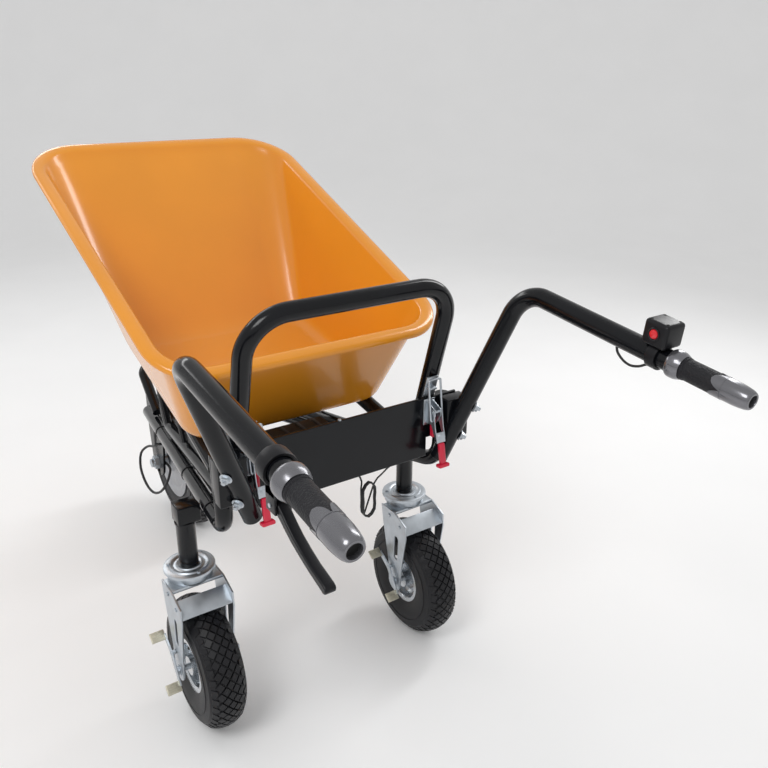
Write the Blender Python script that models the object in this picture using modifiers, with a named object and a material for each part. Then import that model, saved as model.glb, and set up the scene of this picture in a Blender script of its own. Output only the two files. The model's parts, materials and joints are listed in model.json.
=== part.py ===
"""Power wheelbarrow: an orange tub on a tipping tube frame, a hub-motor drive wheel and two braked casters.

Metres, +Z up, +Y forward, the symmetry plane at x = 0 and the floor at z = 0. Places are written in a
drafting frame whose y = 0 is the line through both caster swivel axes. One empty, the parent of every
object, moves that frame so that the world origin is under the middle of the machine.
"""

import math

import bmesh
import bpy
from mathutils import Matrix, Vector

# ---------------------------------------------------------------- driving dimensions
SHIFT_Y = -0.0821  # drafting frame to world
GAP = 0.0003  # between parts that touch
SIDES = {"left": -1, "right": 1}

RAIL_R = 0.016  # main rail tube
FRAME_R = 0.017  # tipping frame tube
HANDLE_R = 0.018
CORE_R = 0.011  # handle tube's thin end, inside the grips

# casters
CASTER_X = 0.257
CASTER_TYRE_R = 0.135
CASTER_TRAIL = 0.042  # the axle lies this far behind the swivel axis
TOP_PLATE_Z = 0.332  # underside of the caster's top plate
TOP_PLATE_R = 0.050
FORK_HALF = 0.050  # inner face of a fork arm from the wheel's middle
FORK_SHEET = 0.004

# drive wheel
AXLE_Y, AXLE_Z = 0.710, 0.200
DRIVE_TYRE_R = 0.200
AXLE_R = 0.012
DROPOUT_X = (0.0755, 0.0815)

# chassis
RAIL_FRONT = Vector((0.098, 0.690, 0.366))
RAIL_BEND = Vector((0.236, -0.150, 0.487))
RAIL_TOP = Vector((0.240, -0.150, 0.640))
RAIL_BEND_R = 0.050
CROSS_Z = 0.456
CROSS_SIZE = 0.038
BEAM_FRONT_Y = -0.1665
BEAM_THICK = 0.006
BEAM_HALF = 0.255
BEAM_STEP_X = 0.185
BEAM_TOP, BEAM_STEP_Z, BEAM_BOTTOM = 0.650, 0.564, 0.523
NOSE_START = Vector((0.110, 0.575, 0.409))
NOSE_CORNER = Vector((0.102, 0.705, 0.4909))
NOSE_R = 0.013

# tipping frame
PIVOT_Y, PIVOT_Z = 0.615, 0.434
PIVOT_SHAFT_R = 0.008
FRAME_FRONT = Vector((0.130, 0.452, 0.652))
FRAME_BEND = Vector((0.131, 0.425, 0.442))
FRAME_REAR = Vector((0.200, -0.105, 0.507))
HOOP_TOP = Vector((0.205, -0.213, 0.887))
HOOP_BEND_R = 0.075
RUNNER_X = (0.194, 0.168)  # rear and front
RUNNER_Y = (-0.020, 0.385)
RUNNER_R = 0.0165
CRADLE_CROSS_Y = (0.200, 0.355)

# tub
SHEET = 0.003
RIM_REAR = (-0.096, 0.307, 0.758)  # y, half width and z of the rim's outer corners
RIM_FRONT = (0.716, 0.317, 1.065)
FLOOR_REAR = (0.027, 0.217, 0.572)
FLOOR_FRONT = (0.410, 0.212, 0.657)
FLANGE = 0.027
RIM_LIP = 0.012
RIM_OUTER_R = (0.105, 0.122)  # rear and front corners
RIM_INNER_R = (0.081, 0.098)

# handles: foot, bend and the end of the grip
HANDLE_FOOT = Vector((0.202, -0.192, 0.525))
HANDLE_BEND = Vector((0.333, -0.266, 0.868))
GRIP_END = Vector((0.337, -0.746, 0.813))
HANDLE_BEND_R = 0.060
COLLAR_Y = -0.600  # where the tube ends and the collar starts
COLLAR_LEN, SLEEVE_LEN, END_LEN = 0.026, 0.071, 0.048
SLEEVE_R, COLLAR_R = 0.0175, 0.0235
BRACKET_X, BRACKET_BACK, BRACKET_Z = (0.2112, 0.263), -0.205, (0.564, 0.648)
BOLT_Z = (0.640, 0.580)
BOLT_OUTWARD = Vector((0.712, -0.583, -0.393)).normalized()
BOLT_R = 0.004

# toggle latches, on the beam's rear face
LATCH_X = 0.189
LATCH_PIVOT = (-0.198, 0.628)
BAIL_PIVOT = (-0.199, 0.611)
BAIL_TOP = (-0.1885, 0.6925)
BAIL_R, BAIL_HALF = 0.0022, 0.0140
TRIGGER_PIVOT = (-0.187, 0.606)
KEEPER_Z = 0.6755

# battery cover, pack and controller
BATTERY_X = (-0.160, 0.075)
BATTERY_Y = (-0.100, 0.058)
BATTERY_Z = (0.4806, 0.552)

# controls
BOX_SIZE = (0.046, 0.046, 0.042)
BUTTON_R = 0.008
LEVER_PIVOT = (-0.575, 0.7850)
LEVER_TIP = (-0.692, 0.733)


# ---------------------------------------------------------------- scene and materials
for old in list(bpy.data.objects):
    bpy.data.objects.remove(old, do_unlink=True)

PARTS = bpy.data.collections.new("power_wheelbarrow")
CUTTERS = bpy.data.collections.new("cutters")
for group in (PARTS, CUTTERS):
    bpy.context.scene.collection.children.link(group)

ORIGIN = bpy.data.objects.new("drafting_origin", None)
ORIGIN.location = (0, SHIFT_Y, 0)
PARTS.objects.link(ORIGIN)


def material(name, colour, roughness, metallic=0.0):
    made = bpy.data.materials.new(name)
    made.use_nodes = True
    shader = made.node_tree.nodes["Principled BSDF"]
    shader.inputs["Base Color"].default_value = (*colour, 1)
    shader.inputs["Roughness"].default_value = roughness
    shader.inputs["Metallic"].default_value = metallic
    return made


ORANGE = material("tub_orange", (0.82, 0.27, 0.02), 0.25)
BLACK = material("frame_black", (0.012, 0.013, 0.016), 0.22)
ZINC = material("zinc_plate", (0.55, 0.58, 0.60), 0.35, 1.0)
TYRE = material("tyre_rubber", (0.018, 0.018, 0.020), 0.75)
RIM = material("rim_steel", (0.60, 0.63, 0.65), 0.30, 1.0)
SILVER = material("grip_silver", (0.32, 0.32, 0.33), 0.35, 0.6)
RUBBER = material("grip_rubber", (0.030, 0.030, 0.034), 0.70)
PLASTIC = material("black_plastic", (0.015, 0.015, 0.017), 0.45)
RED = material("latch_red", (0.60, 0.010, 0.035), 0.40)
BUTTON_RED = material("button_red", (0.65, 0.02, 0.03), 0.30)
CABLE = material("cable_black", (0.010, 0.010, 0.010), 0.55)
CAST = material("cast_aluminium", (0.40, 0.41, 0.42), 0.45, 1.0)
COPPER = material("stator_copper", (0.55, 0.25, 0.12), 0.45, 1.0)
PACK = material("pack_wrap", (0.03, 0.08, 0.22), 0.50)


# ---------------------------------------------------------------- modelling helpers
def placed(name, data, finish=None):
    """A new object under the drafting origin: a part if it has a finish, otherwise a cutter."""
    obj = bpy.data.objects.new(name, data)
    obj.parent = ORIGIN
    if finish is None:
        CUTTERS.objects.link(obj)
        obj.hide_render = True
        obj.display_type = "WIRE"
    else:
        data.materials.append(finish)
        PARTS.objects.link(obj)
    return obj


def mesh_of(bm, name):
    bmesh.ops.recalc_face_normals(bm, faces=bm.faces)
    data = bpy.data.meshes.new(name)
    bm.to_mesh(data)
    bm.free()
    return data


def along(origin, direction):
    """The matrix that puts local +Z along a direction, at an origin."""
    turn = Vector((0, 0, 1)).rotation_difference(Vector(direction)).to_matrix().to_4x4()
    return Matrix.Translation(origin) @ turn


def across(x=0.0):
    """The matrix of a flat outline drawn in (y, z), whose thickness runs along x."""
    turn = Matrix(((0, 0, 1), (1, 0, 0), (0, 1, 0))).to_4x4()
    return Matrix.Translation((x, 0, 0)) @ turn


def box(name, low, high, finish=None, bevel=0.0, matrix=None):
    bm = bmesh.new()
    size = [b - a for a, b in zip(low, high)]
    middle = [(a + b) / 2 for a, b in zip(low, high)]
    bmesh.ops.create_cube(bm, size=1.0)
    bmesh.ops.scale(bm, vec=size, verts=bm.verts)
    bmesh.ops.translate(bm, vec=middle, verts=bm.verts)
    obj = placed(name, mesh_of(bm, name), finish)
    if matrix is not None:
        obj.matrix_local = matrix
    if bevel:
        edge = obj.modifiers.new("edges", "BEVEL")
        edge.width = bevel
        edge.segments = 1
    return obj


def cylinder(name, start, end, radius, finish=None, sides=16):
    start, end = Vector(start), Vector(end)
    bm = bmesh.new()
    bmesh.ops.create_cone(
        bm, cap_ends=True, segments=sides, radius1=radius, radius2=radius, depth=(end - start).length
    )
    obj = placed(name, mesh_of(bm, name), finish)
    obj.data.shade_smooth()
    obj.data.set_sharp_from_angle(angle=math.radians(40))
    obj.matrix_local = along((start + end) / 2, end - start)
    return obj


def bent_path(corners, radius, step=math.radians(22.5)):
    """Points of a path through these corners, with an arc of the radius at each inner one."""
    points = [corners[0]]
    for before, corner, after in zip(corners, corners[1:], corners[2:]):
        back = (before - corner).normalized()
        on = (after - corner).normalized()
        half = back.angle(on) / 2
        reach = radius / math.tan(half)
        centre = corner + (back + on).normalized() * radius / math.sin(half)
        first = corner + back * reach - centre
        last = corner + on * reach - centre
        turn = first.angle(last)
        count = max(2, round(turn / step))
        axis = first.cross(last)
        for k in range(count + 1):
            points.append(centre + Matrix.Rotation(turn * k / count, 3, axis) @ first)
    points.append(corners[-1])
    return points


def smooth_path(knots, per_span):
    """Points on a Catmull-Rom curve through the knots."""
    knots = [Vector(k) for k in knots]
    ends = [2 * knots[0] - knots[1], *knots, 2 * knots[-1] - knots[-2]]
    points = []
    for a, b, c, d in zip(ends, ends[1:], ends[2:], ends[3:]):
        for k in range(per_span):
            t = k / per_span
            points.append(
                b
                + (c - a) * t / 2
                + (2 * a - 5 * b + 4 * c - d) * t**2 / 2
                + (3 * b - a - 3 * c + d) * t**3 / 2
            )
    points.append(knots[-1])
    return points


def tube(name, points, radius, finish=None, resolution=2):
    data = bpy.data.curves.new(name, "CURVE")
    data.dimensions = "3D"
    spline = data.splines.new("POLY")
    spline.points.add(len(points) - 1)
    for slot, point in zip(spline.points, points):
        slot.co = (*point, 1)
    data.bevel_depth = radius
    data.bevel_resolution = resolution
    data.use_fill_caps = True
    return placed(name, data, finish)


def plate(name, outlines, thickness, matrix, finish=None):
    """A flat outline (and its holes) of a thickness, centred on the matrix's local XY plane."""
    data = bpy.data.curves.new(name, "CURVE")
    data.dimensions = "2D"
    data.fill_mode = "BOTH"
    data.extrude = thickness / 2
    for outline in outlines:
        spline = data.splines.new("POLY")
        spline.points.add(len(outline) - 1)
        for slot, (u, v) in zip(spline.points, outline):
            slot.co = (u, v, 0, 1)
        spline.use_cyclic_u = True
    obj = placed(name, data, finish)
    obj.matrix_local = matrix
    return obj


def arc(centre, radius, start, end, count):
    """Points on a circular arc between two angles in degrees."""
    angles = [math.radians(start + (end - start) * k / count) for k in range(count + 1)]
    return [(centre[0] + radius * math.cos(a), centre[1] + radius * math.sin(a)) for a in angles]


def solid_mesh(obj):
    """The curve object made a mesh with welded caps, keeping its name, place and finish."""
    bpy.context.view_layer.update()
    seen = obj.evaluated_get(bpy.context.evaluated_depsgraph_get())
    data = bpy.data.meshes.new_from_object(seen)
    bm = bmesh.new()
    bm.from_mesh(data)
    bmesh.ops.remove_doubles(bm, verts=bm.verts, dist=1e-6)
    bmesh.ops.recalc_face_normals(bm, faces=bm.faces)
    bm.to_mesh(data)
    bm.free()
    name, matrix, hidden = obj.name, obj.matrix_local.copy(), obj.hide_render
    bpy.data.objects.remove(obj, do_unlink=True)
    if hidden:
        made = placed(name, data)
    else:
        made = bpy.data.objects.new(name, data)
        made.parent = ORIGIN
        PARTS.objects.link(made)
    made.matrix_local = matrix
    return made


def turned(name, profile, steps, matrix, finish=None, closed=True):
    """A profile of (radius, height) points turned about the matrix's local Z."""
    loop = list(profile)
    following = loop[1:] + loop[:1]
    area = sum(a[0] * b[1] - b[0] * a[1] for a, b in zip(loop, following))
    if area > 0:
        loop.reverse()
    edges = [(k, k + 1) for k in range(len(loop) - 1)]
    if closed:
        edges.append((len(loop) - 1, 0))
    data = bpy.data.meshes.new(name)
    data.from_pydata([(r, 0, h) for r, h in loop], edges, [])
    obj = placed(name, data, finish)
    obj.matrix_local = matrix
    screw = obj.modifiers.new("turn", "SCREW")
    screw.steps = steps
    screw.render_steps = steps
    screw.use_merge_vertices = True
    screw.merge_threshold = 0.00002
    screw.use_smooth_shade = True
    return obj


def mirrored_profile(half):
    """A full turned outline from the half with height >= 0, listed from the middle outwards."""
    return [(r, h) for r, h in half] + [(r, -h) for r, h in reversed(half) if h > 0]


def combine(obj, tools, operation):
    for k, tool in enumerate(tools):
        step = obj.modifiers.new(f"{operation.lower()}_{k}", "BOOLEAN")
        step.operation = operation
        step.solver = "EXACT"
        step.object = tool
    return obj


def unite(obj, *tools):
    return combine(obj, tools, "UNION")


def cut(obj, *tools):
    return combine(obj, tools, "DIFFERENCE")


def sided(point, sign):
    return Vector((point[0] * sign, point[1], point[2]))


def x_axis_at(x, y, z):
    return along((x, y, z), (1, 0, 0))


# ---------------------------------------------------------------- tub
def rounded_quad(rear, front, rear_r, front_r, inset=0.0, drop=0.0, steps=5):
    """A rounded four-sided ring on the plane through its rear and front edges."""
    (y0, half0, z0), (y1, half1, z1) = rear, front
    slope = (z1 - z0) / (y1 - y0)
    run = math.hypot(1, slope)
    y0, y1 = y0 + inset / run, y1 - inset / run
    half0, half1 = half0 - inset, half1 - inset
    z0 = z0 + slope * inset / run
    ring = []
    for (cx, cy), radius, spin in (
        ((half0, y0), rear_r, -90),
        ((half1, y1), front_r, 0),
        ((-half1, y1), front_r, 90),
        ((-half0, y0), rear_r, 180),
    ):
        centre = (cx - math.copysign(radius, cx), cy + (radius if cy == y0 else -radius))
        ring += arc(centre, radius, spin, spin + 90, steps)
    return [Vector((x, y, z0 + slope * (y - y0) - drop)) for x, y in ring]


def blend(first, second, t):
    return [a.lerp(b, t) for a, b in zip(first, second)]


def tub():
    outer = rounded_quad(RIM_REAR, RIM_FRONT, *RIM_OUTER_R)
    lip = rounded_quad(RIM_REAR, RIM_FRONT, *RIM_OUTER_R, drop=RIM_LIP)
    inner = rounded_quad(RIM_REAR, RIM_FRONT, *RIM_INNER_R, inset=FLANGE)
    wall_r = [radius - 0.002 for radius in RIM_INNER_R]
    wall_top = rounded_quad(RIM_REAR, RIM_FRONT, *wall_r, inset=FLANGE + 0.004, drop=0.006)
    corner = rounded_quad(FLOOR_REAR, FLOOR_FRONT, 0.055, 0.055)
    floor = rounded_quad(FLOOR_REAR, FLOOR_FRONT, 0.040, 0.040, inset=0.026)
    foot = blend(wall_top, corner, 0.90)
    turn = [a * 0.25 + b * 0.5 + c * 0.25 for a, b, c in zip(foot, corner, floor)]
    rings = [lip, outer, inner, wall_top, blend(wall_top, corner, 0.45), foot, turn, floor]

    bm = bmesh.new()
    rows = [[bm.verts.new(p) for p in ring] for ring in rings]
    for upper, lower in zip(rows, rows[1:]):
        for k in range(len(upper)):
            j = (k + 1) % len(upper)
            bm.faces.new((upper[k], upper[j], lower[j], lower[k]))
    bm.faces.new(rows[-1])
    bmesh.ops.recalc_face_normals(bm, faces=bm.faces)
    if bm.faces[-1].normal.z < 0:
        bmesh.ops.reverse_faces(bm, faces=bm.faces)
    data = bpy.data.meshes.new("tub")
    bm.to_mesh(data)
    bm.free()
    data.shade_smooth()
    data.set_sharp_from_angle(angle=math.radians(50))
    obj = placed("tub", data, ORANGE)
    sheet = obj.modifiers.new("sheet", "SOLIDIFY")
    sheet.thickness = SHEET
    sheet.offset = -1


# ---------------------------------------------------------------- tipping frame
def tipping_frame():
    half = [FRAME_FRONT, FRAME_BEND, FRAME_REAR, HOOP_TOP]
    points = []
    corners = half + [sided(p, -1) for p in reversed(half)]
    radii = [0.040, 0.050, HOOP_BEND_R, HOOP_BEND_R, 0.050, 0.040]
    points.append(corners[0])
    for k, radius in enumerate(radii):
        points += bent_path(corners[k : k + 3], radius)[1:-1]
    points.append(corners[-1])
    tube("tipping_frame", points, FRAME_R, BLACK, resolution=3)

    yoke_z = FRAME_BEND.z - 0.004
    reach = FRAME_BEND.x - FRAME_R - 0.0012
    yoke = cylinder("tilt_yoke", (-reach, 0.430, yoke_z), (reach, 0.430, yoke_z), 0.0125, BLACK)
    sleeve = cylinder("yoke_sleeve", (-0.070, PIVOT_Y, PIVOT_Z), (0.070, PIVOT_Y, PIVOT_Z), 0.0145)
    arms = [
        cylinder(f"yoke_arm_{side}", (s * 0.055, 0.432, yoke_z), (s * 0.055, PIVOT_Y, PIVOT_Z), 0.011, sides=12)
        for side, s in SIDES.items()
    ]
    bore = cylinder("yoke_bore", (-0.080, PIVOT_Y, PIVOT_Z), (0.080, PIVOT_Y, PIVOT_Z), PIVOT_SHAFT_R + 0.0006)
    unite(yoke, sleeve, *arms)
    cut(yoke, bore)

    leg = (HOOP_TOP - FRAME_REAR).normalized()
    for side, s in SIDES.items():
        # the keeper's plate lies along the hoop leg, and its shelf holds the bail's top bar
        foot = FRAME_REAR + leg * ((KEEPER_Z - FRAME_REAR.z) / leg.z)
        foot.x = LATCH_X
        plate_matrix = Matrix.Translation(sided(foot, s)) @ Matrix.Rotation(math.atan2(-leg.y, leg.z), 4, "X")
        back = -FRAME_R - 0.0012
        near, far = sorted((-0.011 * s, 0.016 * s))
        keeper = box(
            f"latch_keeper_{side}", (near, back - 0.003, -0.020), (far, back, 0.026), ZINC, matrix=plate_matrix
        )
        shelf = box(f"keeper_shelf_{side}", (-0.0095, back - 0.0140, 0.002), (0.0095, back - 0.001, 0.0048))
        lip = box(f"keeper_lip_{side}", (-0.0095, back - 0.0140, 0.0022), (0.0095, back - 0.0118, 0.0072))
        shelf.matrix_local = plate_matrix
        lip.matrix_local = plate_matrix
        unite(keeper, shelf, lip)


def cradle():
    """Two runners under the tub's floor, their cross tubes and the posts that stand on the frame tube."""
    (y_rear, _, z_rear), (y_front, _, z_front) = FLOOR_REAR, FLOOR_FRONT
    slope = (z_front - z_rear) / (y_front - y_rear)
    under = z_rear - SHEET - (RUNNER_R + 0.0006) * math.hypot(1, slope)

    def runner_at(y, side=1):
        t = (y - RUNNER_Y[0]) / (RUNNER_Y[1] - RUNNER_Y[0])
        x = RUNNER_X[0] + (RUNNER_X[1] - RUNNER_X[0]) * t
        return Vector((side * x, y, under + slope * (y - y_rear)))

    runners = [
        cylinder(f"runner_{side}", runner_at(RUNNER_Y[0], s), runner_at(RUNNER_Y[1], s), RUNNER_R, sides=16)
        for side, s in SIDES.items()
    ]
    past = Vector((0.004, 0, 0))
    crosses = [
        cylinder(name, runner_at(y, -1) - past, runner_at(y, 1) + past, 0.012, finish, sides=12)
        for name, y, finish in zip(("tub_cradle", "cradle_front_cross"), CRADLE_CROSS_Y, (BLACK, None))
    ]
    posts = []
    for side, s in SIDES.items():
        for y in CRADLE_CROSS_Y:
            t = (y - FRAME_REAR.y) / (FRAME_BEND.y - FRAME_REAR.y)
            foot = sided(FRAME_REAR.lerp(FRAME_BEND, t), s)
            top = runner_at(y + 0.026, s) + Vector((0, 0, 0.003))
            foot.z += FRAME_R * 1.02 + GAP
            foot.y += 0.026
            foot.x += (top.x - foot.x) * 0.3
            posts.append(cylinder(f"cradle_post_{side}_{y}", foot, top, 0.009, sides=12))
    unite(crosses[0], crosses[1], *runners, *posts)


# ---------------------------------------------------------------- chassis
def rail_at(y):
    t = (y - RAIL_FRONT.y) / (RAIL_BEND.y - RAIL_FRONT.y)
    return RAIL_FRONT.lerp(RAIL_BEND, t)


def chassis():
    for side, s in SIDES.items():
        corners = [sided(p, s) for p in (RAIL_FRONT, RAIL_BEND, RAIL_TOP)]
        tube(f"main_rail_{side}", bent_path(corners, RAIL_BEND_R), RAIL_R, BLACK, resolution=3)

    step, half = BEAM_STEP_X, BEAM_HALF
    outline = [
        (-half, BEAM_TOP), (-half, BEAM_STEP_Z), (-step, BEAM_STEP_Z), (-step, BEAM_BOTTOM),
        (step, BEAM_BOTTOM), (step, BEAM_STEP_Z), (half, BEAM_STEP_Z), (half, BEAM_TOP),
    ]
    middle_y = BEAM_FRONT_Y - BEAM_THICK / 2
    upright = Matrix.Translation((0, middle_y, 0)) @ Matrix.Rotation(math.radians(90), 4, "X")
    plate("rear_beam", [outline], BEAM_THICK, upright, BLACK)

    half = CROSS_SIZE / 2
    inner = rail_at(half).x - RAIL_R * 1.014 - GAP
    outer = rail_at(-half).x + RAIL_R * 1.014 + GAP
    low, high = CROSS_Z - half, CROSS_Z + half
    box("cross_tube", (-inner, -half, low), (inner, half, high), BLACK, bevel=0.003)
    for side, s in SIDES.items():
        near, far = sorted((s * outer, s * (CASTER_X + 0.019)))
        mount = box(f"caster_mount_{side}", (near, -half, low), (far, half, high), BLACK)
        foot, top = (s * CASTER_X, 0, TOP_PLATE_Z + 0.0083), (s * CASTER_X, 0, CROSS_Z)
        post = cylinder(f"mount_post_{side}", foot, top, 0.0185, sides=20)
        unite(mount, post)

    corners = [NOSE_START, NOSE_CORNER, sided(NOSE_CORNER, -1), sided(NOSE_START, -1)]
    points = bent_path(corners[:3], 0.034)[:-1] + bent_path(corners[1:], 0.034)[1:]
    tube("nose_bar", points, NOSE_R, BLACK, resolution=3)
    reach = 0.0915
    cylinder("tilt_shaft", (-reach, PIVOT_Y, PIVOT_Z), (reach, PIVOT_Y, PIVOT_Z), PIVOT_SHAFT_R, ZINC)


def battery():
    (x0, x1), (y0, y1), (z0, z1) = BATTERY_X, BATTERY_Y, BATTERY_Z
    wall = 0.003
    cover = box("battery_cover", (x0, y0, z0), (x1, y1, z1), PLASTIC, bevel=0.003)
    hollow = box("cover_hollow", (x0 + wall, y0 + wall, z0 - 0.02), (x1 - wall, y1 - wall, z1 - wall))
    cut(cover, hollow)
    space = 0.006
    box("battery_pack", (x0 + space, y0 + space, z0 + GAP), (x1 - space, y1 - space, z1 - space), PACK, bevel=0.003)
    front = CROSS_SIZE / 2 + GAP
    box("motor_controller", (-0.062, front, 0.444), (0.062, front + 0.086, 0.4800), CAST, bevel=0.002)


# ---------------------------------------------------------------- drive wheel
def drive_wheel():
    for side, s in SIDES.items():
        slot = AXLE_R + GAP
        foot_r = 0.040
        down = AXLE_Z - foot_r
        outline = [(0.760, 0.388), (0.648, 0.388), (0.650, 0.300)]
        outline += [p for p in arc((AXLE_Y, AXLE_Z), foot_r, 190, 250, 3)]
        outline += [(AXLE_Y - slot, down + 0.0022)]
        outline += arc((AXLE_Y, AXLE_Z), slot, 180, 0, 8)
        outline += [(AXLE_Y + slot, down + 0.0022)]
        outline += arc((AXLE_Y, AXLE_Z), foot_r, 290, 350, 3)
        outline += [(0.762, 0.300)]
        thick = DROPOUT_X[1] - DROPOUT_X[0]
        plate(f"dropout_{side}", [outline], thick, across(s * sum(DROPOUT_X) / 2), BLACK)

    centre = (AXLE_Y, AXLE_Z)
    axle = cylinder("drive_axle", (-0.102, *centre), (0.102, *centre), AXLE_R, ZINC, sides=16)
    extras = []
    for side, s in SIDES.items():
        nut_in, nut_out = DROPOUT_X[1] + GAP, DROPOUT_X[1] + 0.0125
        spacer_in, spacer_out = 0.0570, DROPOUT_X[0] - GAP
        extras.append(cylinder(f"axle_nut_{side}", (s * nut_in, *centre), (s * nut_out, *centre), 0.019, sides=6))
        extras.append(cylinder(f"axle_spacer_{side}", (s * spacer_in, *centre), (s * spacer_out, *centre), 0.0165))
    unite(axle, *extras)

    hub = [
        (0.1000, 0.0), (0.1000, 0.0400), (0.1120, 0.0405), (0.1120, 0.0460), (0.0940, 0.0455),
        (0.0840, 0.0420), (0.0380, 0.0470), (0.0320, 0.0555), (AXLE_R + 0.0008, 0.0555),
    ]
    cavity = [(AXLE_R + 0.0008, 0.0470), (0.0320, 0.0410), (0.0800, 0.0360), (0.0900, 0.0330)]
    half = hub + cavity
    ring = half + [(r, -h) for r, h in reversed(half) if h > 0]
    matrix = x_axis_at(0, *centre)
    turned("hub_motor_shell", ring, 28, matrix, CAST)
    stator = [(0.0126, -0.026), (0.086, -0.026), (0.086, 0.026), (0.0126, 0.026)]
    turned("motor_stator", stator, 24, matrix, COPPER)
    tyre = [
        (DRIVE_TYRE_R, 0.0), (0.1975, 0.0190), (0.1890, 0.0340), (0.1720, 0.0445),
        (0.1500, 0.0475), (0.1280, 0.0455), (0.1135, 0.0430), (0.1128, 0.0397), (0.1004, 0.0396),
    ]
    turned("drive_tyre", mirrored_profile(tyre), 28, matrix, TYRE)


# ---------------------------------------------------------------- casters
def caster(side, s):
    x = s * CASTER_X
    axle_y, axle_z = -CASTER_TRAIL, CASTER_TYRE_R
    plate_profile = [
        (0.0, 0.008), (0.024, 0.008), (0.026, 0.0105), (0.030, 0.0105), (0.032, 0.008), (0.040, 0.008),
        (0.042, 0.0100), (0.046, 0.0095), (TOP_PLATE_R, 0.006), (TOP_PLATE_R, 0.0), (0.0, 0.0),
    ]
    seat = Matrix.Translation((x, 0, TOP_PLATE_Z))
    turned(f"caster_top_plate_{side}", plate_profile, 28, seat, ZINC, closed=False)

    out = FORK_HALF + FORK_SHEET
    crown_top = TOP_PLATE_Z - 0.0006
    fork = cylinder(f"caster_fork_{side}", (x, 0, 0.312), (x, 0, crown_top), 0.044, ZINC, sides=20)
    span = out - 0.001
    bridge = box(f"fork_bridge_{side}", (x - span, -0.038, 0.309), (x + span, 0.010, 0.3160))
    arm_outline = [(0.012, 0.3165), (-0.040, 0.3165), (-0.082, 0.300), (-0.084, 0.270), (-0.068, 0.180)]
    arm_outline += arc((axle_y, axle_z), 0.022, 190, 350, 5)
    arm_outline += [(-0.018, 0.180), (0.004, 0.270)]
    tools = [bridge]
    for end in (-1, 1):
        arm_x = x + end * (FORK_HALF + FORK_SHEET / 2)
        tools.append(solid_mesh(plate(f"fork_arm_{side}_{end}", [arm_outline], FORK_SHEET, across(arm_x))))
    strap_turn = Matrix.Translation((x, -0.066, 0.2885)) @ Matrix.Rotation(math.radians(38), 4, "X")
    tools.append(box(f"fork_strap_{side}", (-span, -0.020, -0.002), (span, 0.020, 0.002), matrix=strap_turn))
    tools.append(
        cylinder(f"caster_axle_{side}", (x - 0.060, axle_y, axle_z), (x + 0.072, axle_y, axle_z), 0.006, sides=12)
    )
    nut = (x + out - 0.001, axle_y, axle_z), (x + out + 0.007, axle_y, axle_z)
    tools.append(cylinder(f"caster_nut_{side}", *nut, 0.0105, sides=6))
    unite(fork, *tools)

    matrix = x_axis_at(x, axle_y, axle_z)
    rim = [
        (0.0505, 0.0), (0.0505, 0.0275), (0.0580, 0.0278), (0.0580, 0.0315),
        (0.0450, 0.0315), (0.0440, 0.0045), (0.0200, 0.0045), (0.0200, 0.0340), (0.0066, 0.0340),
    ]
    turned(f"caster_rim_{side}", mirrored_profile(rim), 22, matrix, RIM)
    tyre = [
        (CASTER_TYRE_R, 0.0), (0.1335, 0.0140), (0.1265, 0.0290), (0.1120, 0.0380),
        (0.0930, 0.0400), (0.0740, 0.0380), (0.0590, 0.0320), (0.0584, 0.0272), (0.0509, 0.0272),
    ]
    turned(f"caster_tyre_{side}", mirrored_profile(tyre), 22, matrix, TYRE)

    # the foot brake is a rocker on the fork's left arm, with a tread pad at each end
    pivot, upper, lower = Vector((-0.030, 0.172)), Vector((0.004, 0.194)), Vector((-0.066, 0.118))
    near = x - out - 0.0065
    outline = []
    for start, end in ((upper, lower), (lower, upper)):
        first = Vector((pivot.y - start.y, start.x - pivot.x)).normalized() * 0.006
        second = Vector((end.y - pivot.y, pivot.x - end.x)).normalized() * 0.006
        outline += [start + first, pivot + (first + second) / 2, end + second]
    outline = [tuple(point) for point in outline]
    rocker = solid_mesh(plate(f"brake_rocker_{side}", [outline], 0.003, across(near - 0.0015), ZINC))
    pin = cylinder(
        f"rocker_pin_{side}", (near - 0.002, *pivot), (x - out - GAP, *pivot), 0.0045, sides=12
    )
    pads = []
    for label, spot, tilt in (("upper", upper, 35), ("lower", lower, 40)):
        turn = Matrix.Rotation(math.radians(tilt), 4, "X")
        matrix = Matrix.Translation((near - 0.016, spot.x, spot.y)) @ turn
        name = f"rocker_pad_{side}_{label}"
        pads.append(box(name, (-0.0135, -0.0105, -0.002), (0.0150, 0.0105, 0.002), matrix=matrix))
    unite(rocker, pin, *pads)


# ---------------------------------------------------------------- handles and grips
def grip_point(distance):
    """A point on the right grip's axis, this far past the end of the handle tube."""
    axis = (GRIP_END - HANDLE_BEND).normalized()
    start = HANDLE_BEND.lerp(GRIP_END, (COLLAR_Y - HANDLE_BEND.y) / (GRIP_END.y - HANDLE_BEND.y))
    return start + axis * distance


def square_to_leg(direction):
    """The direction's part that is square to the handle's leg, as a unit vector."""
    leg = (HANDLE_BEND - HANDLE_FOOT).normalized()
    return (direction - leg * direction.dot(leg)).normalized()


def leg_at(z):
    t = (z - HANDLE_FOOT.z) / (HANDLE_BEND.z - HANDLE_FOOT.z)
    return HANDLE_FOOT.lerp(HANDLE_BEND, t)


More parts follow.
